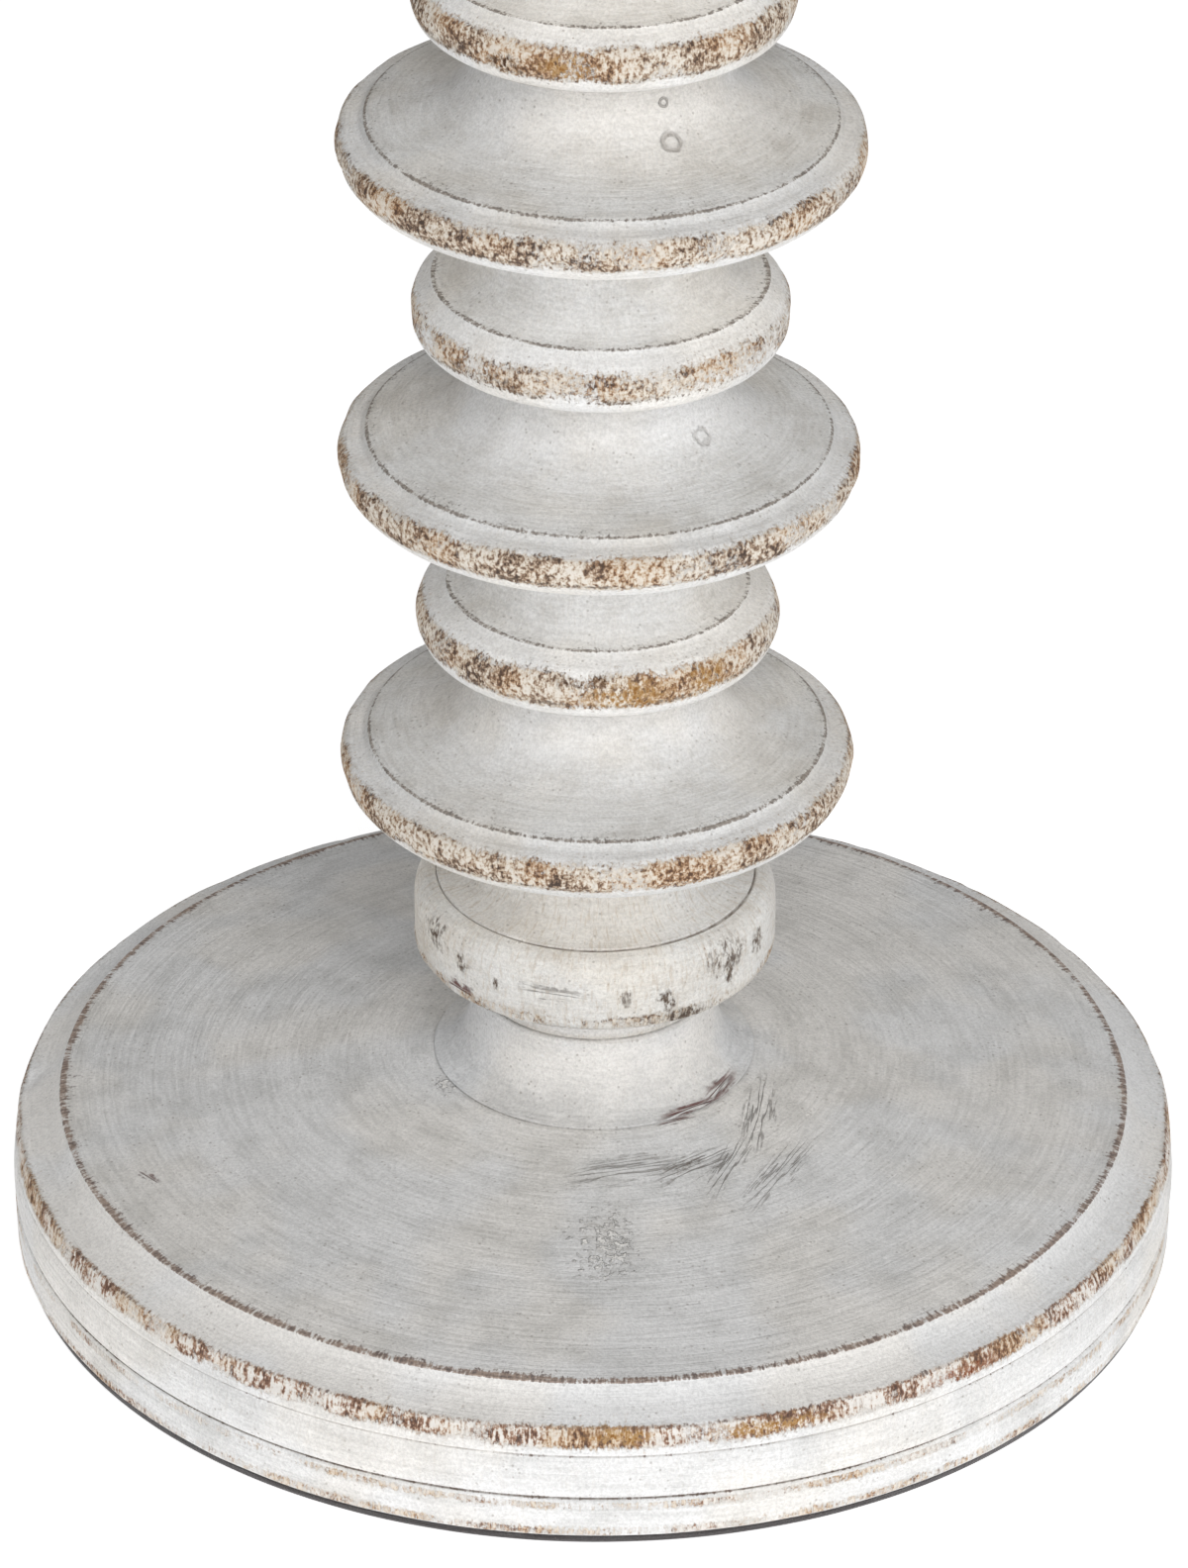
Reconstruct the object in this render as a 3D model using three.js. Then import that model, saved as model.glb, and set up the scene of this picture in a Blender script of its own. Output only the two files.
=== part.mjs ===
// Turned wooden candlestick for a pillar candle, in millimetres, +Z up.
// The origin is the centre of the felt pad's underside. Every wooden element is turned on one
// axis, seats on the element below with a spigot, and is clamped on a steel tie rod.
import * as THREE from "three";

// Overall sizes
const baseRadius = 89.3;
const dishRadius = 55;
const neckRadius = 17.5;
const stemDiscCount = 5;

// Seats between the turned elements
const spigotRadius = 10;
const spigotDepth = 4;
const spigotClearance = 0.3;
const glueGap = 0.2;

// Tie rod and its fasteners (M8)
const rodRadius = 4;
const rodClearance = 0.6;
const rodOvershoot = 1;
const rodEndClearance = 2.3;
const threadClearance = 0.3;
const washerRadius = 11;
const washerThickness = 1.6;
const nutAcrossFlats = 13;
const nutHeight = 6.5;
const nutHeadroom = 2.2;
const counterboreClearance = 1.5;

// Felt pad
const feltThickness = 1;
const feltInset = 0.8;

// Base plate, from the underside up: square band, torus, upper band, cove, domed top
const lowerBandHeight = 6.8;
const torusHeight = 7.4;
const upperBandHeight = 5;
const coveHeight = 3.4;
const plateRise = 6.6;
const plateArrisInset = 7.4;
const rimShoulderInset = 1.6;
const upperBandInset = 0.6;
const quirkDepth = 1.1;
const quirkHalfWidth = 0.4;

// Foot: the flare between the plate and the stem
const footRadius = 24.5;
const footHeight = 11.5;

// Collars, at both ends of the stem
const collar = { radius: 27.4, underRadius: 27, arrisRadius: 24, thickness: 12.6, shoulder: 1.7 };
const collarHeight = 27.7;
const collarNeckBelow = 7.4;

// Stem discs, all alike
const stemDisc = { radius: 38.5, underRadius: 34.8, arrisRadius: 34.4, thickness: 9.3, shoulder: 1.6 };
const stemDiscHeight = 24.3;
const discDish = 1.6;

// Beads between the discs; the lowest is a little narrower than the others
const lowestBead = { radius: 26.9, underRadius: 24.3, arrisRadius: 22.6, thickness: 10.3, shoulder: 1.5 };
const bead = { radius: 27.8, underRadius: 25, arrisRadius: 24.7, thickness: 10.1, shoulder: 1.3 };
const beadHeight = 26.1;

// Candle dish at the top
const dishFloorHeight = 22;
const dishRecessDepth = 7;
const dishRimWidth = 9;
const dishEdgeThickness = 13;
const dishRimCrown = 1;

// Pressed steel candle pan with a sunk centre, and the spike that clamps it
const panThickness = 1;
const panClearance = 1;
const panRimBelowDish = 0.5;
const panCupDepth = 6;
const spikeCollarRadius = 7.5;
const spikeCollarClearance = 1.5;
const spikeCollarSink = 0.3;
const spikeCapThickness = 0.7;
const spikeRadius = 3.2;
const spikeHeight = 26;
const spikeTipRadius = 0.4;

// Facets round the axis
const baseSegments = 48;
const dishSegments = 36;
const discSegments = 28;
const stemSegments = 24;
const smallSegments = 12;
const curveSteps = 2;

// Fits and stacked heights that follow from the sizes above
const boreRadius = rodRadius + rodClearance;
const threadHoleRadius = rodRadius + threadClearance;
const socketRadius = spigotRadius + spigotClearance;
const socketDepth = spigotDepth + spigotClearance;
const counterboreRadius = washerRadius + counterboreClearance;
const fastenerStack = glueGap + washerThickness + glueGap + nutHeight;
const plateBottom = feltThickness + glueGap;
const baseCounterboreTop = plateBottom + rodEndClearance + rodOvershoot + fastenerStack;
const torusFoot = plateBottom + lowerBandHeight;
const torusTop = torusFoot + torusHeight;
const shoulderHeight = torusTop + upperBandHeight;
const plateArrisHeight = shoulderHeight + coveHeight;
const plateCrownHeight = plateArrisHeight + plateRise;
const panCupRadius = spikeCollarRadius + spikeCollarClearance;
const spikeCollarHeight = panCupDepth - glueGap - spikeCollarSink;
const spikeHoleDepth = spikeCollarHeight - spikeCapThickness;
const dishCounterboreFloor = dishFloorHeight + glueGap - panCupDepth - nutHeadroom - fastenerStack;
const dishRimHeight = dishFloorHeight + dishRecessDepth;

const paintedWood = { color: 0xd2cec8, roughness: 0.75, metalness: 0 };
const blackFelt = { color: 0x1b1a1a, roughness: 1, metalness: 0 };
const zincSteel = { color: 0xb9bcc0, roughness: 0.4, metalness: 1 };
const agedSteel = { color: 0x6d6660, roughness: 0.45, metalness: 1 };

const candlestick = new THREE.Group();
candlestick.name = "candlestick";

// Turns a closed outline (x is the radius, y the height) about +Z and adds it at a height.
function addTurned(name, outline, height, segments, look) {
  const geometry = new THREE.LatheGeometry(outline.getPoints(curveSteps), segments);
  geometry.rotateX(Math.PI / 2);
  addMesh(name, geometry, height, look);
}

function addMesh(name, geometry, height, look) {
  const mesh = new THREE.Mesh(geometry, new THREE.MeshStandardMaterial(look));
  mesh.name = name;
  mesh.position.z = height;
  candlestick.add(mesh);
}

// Starts an outline at the mouth of the bore, down the spigot and out to the seat's edge.
function startOnSpigot(seatRadius) {
  const outline = new THREE.Path();
  outline.moveTo(boreRadius, -spigotDepth);
  outline.lineTo(spigotRadius, -spigotDepth);
  outline.lineTo(spigotRadius, 0);
  outline.lineTo(seatRadius, 0);
  return outline;
}

// Closes an outline over the top face, the socket for the next spigot and down the bore.
function closeOverSocket(outline, topHeight, bottomHeight) {
  outline.lineTo(socketRadius, topHeight);
  outline.lineTo(socketRadius, topHeight - socketDepth);
  outline.lineTo(boreRadius, topHeight - socketDepth);
  outline.lineTo(boreRadius, bottomHeight);
}

// A turned edge: undercut, worn outer round, shoulder and small cove up to a crisp arris.
function addEdge(outline, edge, foot) {
  const shoulderHeight = foot + edge.thickness - edge.shoulder;
  const shoulderRadius = (edge.radius + edge.arrisRadius) / 2;
  const undercut = edge.thickness / 2;
  outline.quadraticCurveTo(edge.radius, foot + undercut / 4, edge.radius, foot + undercut);
  outline.quadraticCurveTo(edge.radius, shoulderHeight, shoulderRadius, shoulderHeight);
  outline.quadraticCurveTo(
    edge.arrisRadius,
    shoulderHeight,
    edge.arrisRadius,
    foot + edge.thickness,
  );
}

// A hollow sweep from an arris in to the neck, then straight up the neck.
function addSweepToNeck(outline, arrisHeight, rise, topHeight) {
  const sweepTop = (arrisHeight + topHeight) / 2 + rise;
  outline.quadraticCurveTo(neckRadius, arrisHeight + rise, neckRadius, sweepTop);
  outline.lineTo(neckRadius, topHeight);
}

function stemElement(edge, rise, height) {
  const outline = startOnSpigot(edge.underRadius);
  addEdge(outline, edge, 0);
  addSweepToNeck(outline, edge.thickness, rise, height);
  closeOverSocket(outline, height, -spigotDepth);
  return outline;
}

// The plate carries a stepped rim: a square foot band, a torus between two quirks, an upper
// band with a rounded shoulder, and a cove up to the arris of the domed top.
function basePlateOutline() {
  const quirkRadius = baseRadius - quirkDepth;
  const bandRadius = baseRadius - upperBandInset;
  const arrisRadius = baseRadius - plateArrisInset;
  const torusMiddle = (torusFoot + torusTop) / 2;
  const outline = new THREE.Path();
  outline.moveTo(boreRadius, baseCounterboreTop);
  outline.lineTo(counterboreRadius, baseCounterboreTop);
  outline.lineTo(counterboreRadius, plateBottom);
  outline.lineTo(baseRadius - quirkHalfWidth, plateBottom);
  outline.lineTo(baseRadius, plateBottom + quirkHalfWidth);
  outline.lineTo(baseRadius, torusFoot - quirkHalfWidth);
  outline.lineTo(quirkRadius, torusFoot);
  outline.quadraticCurveTo(baseRadius + quirkDepth, torusMiddle, quirkRadius, torusTop);
  outline.lineTo(bandRadius, torusTop + quirkHalfWidth);
  outline.lineTo(bandRadius, shoulderHeight - rimShoulderInset);
  outline.quadraticCurveTo(bandRadius, shoulderHeight, bandRadius - rimShoulderInset, shoulderHeight);
  outline.quadraticCurveTo(arrisRadius + quirkHalfWidth, shoulderHeight, arrisRadius, plateArrisHeight);
  outline.lineTo(footRadius, plateCrownHeight);
  closeOverSocket(outline, plateCrownHeight, baseCounterboreTop);
  return outline;
}

function footOutline() {
  const outline = startOnSpigot(footRadius);
  outline.quadraticCurveTo(neckRadius, footHeight / 4, neckRadius, footHeight);
  closeOverSocket(outline, footHeight, -spigotDepth);
  return outline;
}

// The lower collar stands on a short neck of its own; the upper one seats on its underside.
function collarOutline(neckBelow) {
  const outline = startOnSpigot(neckBelow > 0 ? neckRadius : collar.underRadius);
  if (neckBelow > 0) {
    outline.lineTo(neckRadius, neckBelow);
    outline.lineTo(collar.underRadius, neckBelow);
  }
  addEdge(outline, collar, neckBelow);
  addSweepToNeck(outline, neckBelow + collar.thickness, 0, neckBelow + collarHeight);
  closeOverSocket(outline, neckBelow + collarHeight, -spigotDepth);
  return outline;
}

function dishOutline() {
  const edgeFoot = dishRimHeight - dishEdgeThickness;
  const recessRadius = dishRadius - dishRimWidth;
  const crown = dishRimHeight + dishRimCrown;
  const outline = startOnSpigot(neckRadius);
  outline.quadraticCurveTo(neckRadius, edgeFoot, recessRadius, edgeFoot);
  outline.quadraticCurveTo(dishRadius, edgeFoot, dishRadius, edgeFoot + dishEdgeThickness / 2);
  outline.quadraticCurveTo(dishRadius, crown, recessRadius, dishRimHeight);
  outline.lineTo(recessRadius, dishFloorHeight);
  outline.lineTo(counterboreRadius, dishFloorHeight);
  outline.lineTo(counterboreRadius, dishCounterboreFloor);
  outline.lineTo(boreRadius, dishCounterboreFloor);
  outline.lineTo(boreRadius, -spigotDepth);
  return outline;
}

// The pan's own zero is the underside of its flat ring; the centre is pressed down as a cup.
function panOutline() {
  const outer = dishRadius - dishRimWidth - panClearance;
  const rimTop = dishRecessDepth - panRimBelowDish - glueGap;
  const cupFloor = -panCupDepth;
  const outline = new THREE.Path();
  outline.moveTo(boreRadius, cupFloor);
  outline.lineTo(panCupRadius + panThickness, cupFloor);
  outline.lineTo(panCupRadius + panThickness, 0);
  outline.lineTo(outer, 0);
  outline.lineTo(outer, rimTop);
  outline.lineTo(outer - panThickness, rimTop);
  outline.lineTo(outer - panThickness, panThickness);
  outline.lineTo(panCupRadius, panThickness);
  outline.lineTo(panCupRadius, cupFloor + panThickness);
  outline.lineTo(boreRadius, cupFloor + panThickness);
  outline.lineTo(boreRadius, cupFloor);
  return outline;
}

// A round collar with a blind threaded hole, and a tapered point above it.
function spikeOutline() {
  const outline = new THREE.Path();
  outline.moveTo(0, spikeHoleDepth);
  outline.lineTo(threadHoleRadius, spikeHoleDepth);
  outline.lineTo(threadHoleRadius, 0);
  outline.lineTo(spikeCollarRadius, 0);
  outline.lineTo(spikeCollarRadius, spikeCollarHeight);
  outline.lineTo(spikeRadius, spikeCollarHeight);
  outline.lineTo(spikeTipRadius, spikeCollarHeight + spikeHeight);
  outline.lineTo(0, spikeCollarHeight + spikeHeight);
  return outline;
}

function ringOutline(innerRadius, outerRadius, thickness) {
  const outline = new THREE.Path();
  outline.moveTo(innerRadius, 0);
  outline.lineTo(outerRadius, 0);
  outline.lineTo(outerRadius, thickness);
  outline.lineTo(innerRadius, thickness);
  outline.lineTo(innerRadius, 0);
  return outline;
}

function discOutline(radius, thickness) {
  const outline = new THREE.Path();
  outline.moveTo(0, 0);
  outline.lineTo(radius, 0);
  outline.lineTo(radius, thickness);
  outline.lineTo(0, thickness);
  return outline;
}

function nutGeometry() {
  const cornerRadius = nutAcrossFlats / 2 / Math.cos(Math.PI / 6);
  const hexagon = new THREE.Shape();
  for (let side = 0; side < 6; side++) {
    const angle = (side * Math.PI) / 3;
    const corner = [cornerRadius * Math.cos(angle), cornerRadius * Math.sin(angle)];
    if (side === 0) hexagon.moveTo(...corner);
    else hexagon.lineTo(...corner);
  }
  hexagon.closePath();
  const hole = new THREE.Path();
  hole.absarc(0, 0, threadHoleRadius, 0, Math.PI * 2, true);
  hexagon.holes.push(hole);
  return new THREE.ExtrudeGeometry(hexagon, {
    depth: nutHeight,
    bevelEnabled: false,
    curveSegments: smallSegments,
  });
}

// Stacks the wooden elements; each call returns the height of the next seat.
function addElement(name, outline, seat, height, segments = stemSegments) {
  addTurned(name, outline, seat, segments, paintedWood);
  return seat + height + glueGap;
}

addTurned("felt_pad", discOutline(baseRadius - feltInset, feltThickness), 0, baseSegments, blackFelt);
addTurned("base_plate", basePlateOutline(), 0, baseSegments, paintedWood);

let seat = plateCrownHeight + glueGap;
seat = addElement("stem_foot", footOutline(), seat, footHeight);
seat = addElement("lower_collar", collarOutline(collarNeckBelow), seat, collarNeckBelow + collarHeight);
for (let level = 1; level <= stemDiscCount; level++) {
  const disc = stemElement(stemDisc, discDish, stemDiscHeight);
  seat = addElement("stem_disc_" + level, disc, seat, stemDiscHeight, discSegments);
  if (level === stemDiscCount) break;
  const edge = level === 1 ? lowestBead : bead;
  seat = addElement("stem_bead_" + level, stemElement(edge, 0, beadHeight), seat, beadHeight);
}
seat = addElement("upper_collar", collarOutline(0), seat, collarHeight);
addTurned("candle_dish", dishOutline(), seat, dishSegments, paintedWood);

// Pan and spike
const panSeat = seat + dishFloorHeight + glueGap;
const spikeSeat = panSeat - panCupDepth + panThickness + glueGap;
addTurned("candle_pan", panOutline(), panSeat, dishSegments, agedSteel);
addTurned("candle_spike", spikeOutline(), spikeSeat, smallSegments, agedSteel);

// Tie rod, with a washer and nut at each end
const washer = ringOutline(threadHoleRadius, washerRadius, washerThickness);
const baseWasherSeat = baseCounterboreTop - glueGap - washerThickness;
const baseNutSeat = baseWasherSeat - glueGap - nutHeight;
const topWasherSeat = seat + dishCounterboreFloor + glueGap;
const topNutSeat = topWasherSeat + washerThickness + glueGap;
const rodBottom = baseNutSeat - rodOvershoot;
const rodTop = spikeSeat + spikeHoleDepth - glueGap;
addTurned("base_washer", washer, baseWasherSeat, stemSegments, zincSteel);
addMesh("base_nut", nutGeometry(), baseNutSeat, zincSteel);
addTurned("top_washer", washer, topWasherSeat, stemSegments, zincSteel);
addMesh("top_nut", nutGeometry(), topNutSeat, zincSteel);
addTurned("tie_rod", discOutline(rodRadius, rodTop - rodBottom), rodBottom, smallSegments, zincSteel);

export default candlestick;
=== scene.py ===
"""Turned wooden candlestick in rubbed chalk paint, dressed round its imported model.

Every wooden element is swept again as a fine turning over its own CAD node, with the seats, bore
and sockets that the node has, and gets a chalk paint that is rubbed back to the wood on its edges.
Sizes in the classes are in millimetres, heights are above the element's own seat, and the mesh
builder turns them into metres. Angles are in degrees, from the front (-Y) towards the right (+X).
"""

import logging
import math
from dataclasses import dataclass, replace
from enum import Enum

import bpy
import numpy as np
from mathutils import Matrix, Vector


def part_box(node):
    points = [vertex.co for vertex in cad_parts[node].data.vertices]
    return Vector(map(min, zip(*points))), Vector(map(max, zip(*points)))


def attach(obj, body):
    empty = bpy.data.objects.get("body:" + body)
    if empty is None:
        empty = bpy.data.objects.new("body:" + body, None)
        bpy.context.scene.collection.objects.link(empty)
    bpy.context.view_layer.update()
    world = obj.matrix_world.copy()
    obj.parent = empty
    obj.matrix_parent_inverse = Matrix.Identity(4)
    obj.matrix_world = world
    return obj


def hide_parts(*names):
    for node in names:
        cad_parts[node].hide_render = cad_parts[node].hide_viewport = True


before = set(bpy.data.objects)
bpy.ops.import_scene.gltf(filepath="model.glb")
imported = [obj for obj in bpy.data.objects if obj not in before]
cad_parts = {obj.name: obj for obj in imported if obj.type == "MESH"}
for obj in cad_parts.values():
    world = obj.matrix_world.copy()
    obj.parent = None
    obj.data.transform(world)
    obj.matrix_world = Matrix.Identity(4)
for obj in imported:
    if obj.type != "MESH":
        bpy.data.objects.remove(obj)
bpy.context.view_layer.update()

MM = 0.001
ROOT = "root"
FINE, MEDIUM, COARSE = 0.35, 0.8, 6.0  # steps along an outline, in millimetres
FULL_MARK = 1.5  # the most that marks on one place add up to
SMOOTH_BELOW = 40  # faces that meet at less than this many degrees shade as one surface

log = logging.getLogger("candlestick")
Colour = tuple[float, float, float]
Socket = bpy.types.NodeSocket
Feed = Socket | float | Colour


def paint(red: int, green: int, blue: int) -> Colour:
    """Turn a colour mixed on a 0 to 255 screen scale into linear light.

    Args:
        red, green, blue: the three amounts, 0 to 255.

    Returns:
        The same colour in linear light, 0 to 1.
    """

    def linear(amount: float) -> float:
        """Undo the screen curve of one amount."""
        share = amount / 255
        return share / 12.92 if share <= 0.04045 else ((share + 0.055) / 1.055) ** 2.4

    return linear(red), linear(green), linear(blue)


class Slot(Enum):
    """The record's material slots."""

    PAINTED_WOOD = "painted_wood"
    BLACK_FELT = "black_felt"
    ZINC_STEEL = "zinc_steel"
    AGED_STEEL = "aged_steel"


class Layer(Enum):
    """What a mark leaves along an outline; each value is the name of the mesh attribute."""

    WORN = "worn"
    # painted shade along creases, quirks and the joints under overhanging edges
    CREASE = "crease_shade"
    ARRIS = "arris"


# ---------------------------------------------------------------------------------------------
# Turning
# ---------------------------------------------------------------------------------------------


@dataclass(frozen=True)
class Mark:
    """Wear, a dark arris line or painted shade in a crease, that runs round a piece at one place on its
    outline.
    """

    layer: Layer
    at: float
    before: float
    after: float
    amount: float

    def spread(self, along: np.ndarray) -> np.ndarray:
        """Give the mark's amount at each place along the outline.

        Args:
            along: distances along the outline, in millimetres.

        Returns:
            Amounts that are full in the middle and fall smoothly over the mark's two reaches.
        """
        away = along - self.at
        reach = np.where(away < 0, self.before, self.after)
        near = np.clip(1.5 - 1.5 * np.abs(away) / np.maximum(reach, 1e-3), 0, 1)
        return self.amount * near * near * (3 - 2 * near)


class Outline:
    """The closed outline that a piece is turned to.

    It runs up the outside and down the bore, as radius and height in millimetres. Stretches that
    are seats, sockets or bores are kept true; the rest is free for the hand to stray on. Each
    point also knows how thick and white its paint is; that whiteness is also painted light, higher
    on coves, lips and necks than on the flat tops.
    """

    def __init__(self, radius: float, height: float) -> None:
        """Start at one point.

        Args:
            radius: distance from the axis.
            height: height above the seat.
        """
        self.points: list[tuple[float, float]] = [(radius, height)]
        self.free: list[float] = [0.0]
        self.coat_and_light: list[float] = [0.0]
        self.marks: list[Mark] = []
        self.shown = 0.0
        self.coat_light_level = self.coat_light_goal = self.coat_light_pace = 0.0

    @property
    def length(self) -> float:
        """The length drawn so far."""
        steps = np.diff(np.array(self.points), axis=0)
        return float(np.hypot(steps[:, 0], steps[:, 1]).sum()) if len(self.points) > 1 else 0.0

    def show(self, shown: bool) -> "Outline":
        """Say whether what follows is a free surface, or a true seat or bore."""
        self.shown = 1.0 if shown else 0.0
        return self

    def set_coat_and_light(self, coat_light_level: float, over: float = 0.01) -> "Outline":
        """Say how thick and white the paint gets, 0 to 1, and over how many millimetres; the whiteness is
        also painted light.
        """
        self.coat_light_goal, self.coat_light_pace = coat_light_level, abs(coat_light_level - self.coat_light_level) / over
        return self

    def line(self, radius: float, height: float, step: float = COARSE) -> "Outline":
        """Draw straight to a point.

        Args:
            radius: distance of the point from the axis.
            height: height of the point.
            step: longest step between two rings of the mesh.

        Returns:
            The outline itself.
        """
        start = self.points[-1]
        count = max(1, math.ceil(math.dist(start, (radius, height)) / step))
        for i in range(1, count + 1):
            share = i / count
            self._add(
                start[0] + (radius - start[0]) * share, start[1] + (height - start[1]) * share
            )
        return self

    def bend(
        self, control: tuple[float, float], end: tuple[float, float], step: float = FINE
    ) -> "Outline":
        """Draw a curve towards a control point and away from it.

        Args:
            control: the point that pulls the curve.
            end: where the curve ends.
            step: longest step between two rings of the mesh.

        Returns:
            The outline itself.
        """
        start = np.array(self.points[-1])
        pull, stop = np.array(control), np.array(end)
        span = np.linalg.norm(pull - start) + np.linalg.norm(stop - pull)
        count = max(3, math.ceil(span / step))
        for i in range(1, count + 1):
            t = i / count
            at = (1 - t) ** 2 * start + 2 * t * (1 - t) * pull + t * t * stop
            self._add(float(at[0]), float(at[1]))
        return self

    def through(self, stations: list[tuple[float, float]], step: float = FINE) -> "Outline":
        """Draw one smooth curve through given stations.

        Args:
            stations: the points to pass through, after the present one.
            step: longest step between two rings of the mesh.

        Returns:
            The outline itself.
        """
        knots = np.array([self.points[-1], *stations])
        before = np.vstack([2 * knots[0] - knots[1], knots[:-1]])
        after = np.vstack([knots[1:], 2 * knots[-1] - knots[-2]])
        slopes = (after - before) / 2
        for i in range(len(knots) - 1):
            a, b = knots[i], knots[i + 1]
            count = max(2, math.ceil(float(np.linalg.norm(b - a)) / step))
            for k in range(1, count + 1):
                t = k / count
                at = (
                    (2 * t**3 - 3 * t**2 + 1) * a
                    + (t**3 - 2 * t**2 + t) * slopes[i]
                    + (3 * t**2 - 2 * t**3) * b
                    + (t**3 - t**2) * slopes[i + 1]
                )
                self._add(float(at[0]), float(at[1]))
        return self

    def mark(
        self, layer: Layer, amount: float, before: float, after: float, back: float = 0.0
    ) -> "Outline":
        """Leave wear, a dark arris line or painted crease shade round the piece here.

        Args:
            layer: what the mark leaves.
            amount: how much, 0 to 1.
            before: how far it reaches back along the outline.
            after: how far it reaches on.
            back: how far back from here its middle is.

        Returns:
            The outline itself.
        """
        self.marks.append(Mark(layer, self.length - back, before, after, amount))
        return self

    def amounts(self, layer: Layer, along: np.ndarray) -> np.ndarray:
        """Add up the marks of one layer at each place along the outline."""
        marks = (mark.spread(along) for mark in self.marks if mark.layer is layer)
        return np.clip(sum(marks, np.zeros(len(along))), 0, FULL_MARK)

    def _add(self, radius: float, height: float) -> None:
        """Add one point, with the coat and its painted light as they have become there.

        Args:
            radius: distance of the point from the axis.
            height: height of the point.
        """
        change = self.coat_light_pace * math.dist(self.points[-1], (radius, height))
        self.coat_light_level += max(-change, min(change, self.coat_light_goal - self.coat_light_level))
        self.points.append((radius, height))
        self.free.append(self.shown)
        self.coat_and_light.append(self.coat_light_level)


def ripple(rings: int, segments: int, along: float, around: int, seed: int) -> np.ndarray:
    """Make smooth seeded unevenness over a turned surface, without a seam.

    Args:
        rings: number of rings in the mesh.
        segments: number of segments round the axis.
        along: how many bumps follow each other from the first ring to the last.
        around: how many bumps follow each other round the axis.
        seed: which unevenness.

    Returns:
        Heights from -1 to 1, one for each ring and segment.
    """
    draw = np.random.default_rng(seed)
    grid = draw.uniform(-1, 1, (math.ceil(along) + 2, around))

    def ease(share: np.ndarray) -> np.ndarray:
        """Ease a share in and out."""
        return share * share * (3 - 2 * share)

    up = np.linspace(0, along, rings)
    turn = np.arange(segments) * around / segments
    i, j = up.astype(int), turn.astype(int)
    u, v = ease(up - i)[:, None], ease(turn - j)[None, :]
    right = (j + 1) % around
    low = grid[i][:, j] * (1 - v) + grid[i][:, right] * v
    high = grid[i + 1][:, j] * (1 - v) + grid[i + 1][:, right] * v
    return low * (1 - u) + high * u


@dataclass(frozen=True)
class Dent:
    """A dent or a chip in a free surface."""

    angle: float
    radius: float
    height: float
    width: float
    tall: float
    depth: float


@dataclass(frozen=True)
class Hand:
    """How far a hand-turned and hand-rubbed surface strays from true, in millimetres."""

    seed: int
    wander: float = 0.12
    rub: float = 0.16
    chips: float = 0.22
    dents: tuple[Dent, ...] = ()

    def stray(self, rings: np.ndarray, worn: np.ndarray, segments: int) -> np.ndarray:
        """Work out how far each vertex lies off the true surface.

        Args:
            rings: radius and height of each ring.
            worn: how worn each ring is.
            segments: number of segments round the axis.

        Returns:
            Offsets along the surface's normal, one for each ring and segment.
        """
        count = len(rings)
        length = float(np.hypot(*np.diff(rings, axis=0).T).sum())
        girth = 2 * math.pi * float(rings[:, 0].max())
        slow = ripple(count, segments, length / 30, 7, self.seed)
        lumps = ripple(count, segments, length / 4, max(8, round(girth / 6)), self.seed + 1)
        nicks = ripple(count, segments, length / 1.6, max(8, round(girth / 2.4)), self.seed + 2)
        off = self.wander * slow + self.rub * (0.15 + worn[:, None]) * lumps
        off -= self.chips * worn[:, None] * np.clip(nicks - 0.45, 0, 1) / 0.55
        turn = np.arange(segments) * 2 * math.pi / segments
        for dent in self.dents:
            swing = (turn - math.radians(dent.angle) + math.pi) % (2 * math.pi) - math.pi
            aside = (dent.radius * swing[None, :]) / dent.width
            up = np.hypot(rings[:, 0] - dent.radius, rings[:, 1] - dent.height)[:, None] / dent.tall
            off -= dent.depth * np.exp(-(aside**2 + up**2))
        return off


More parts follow.
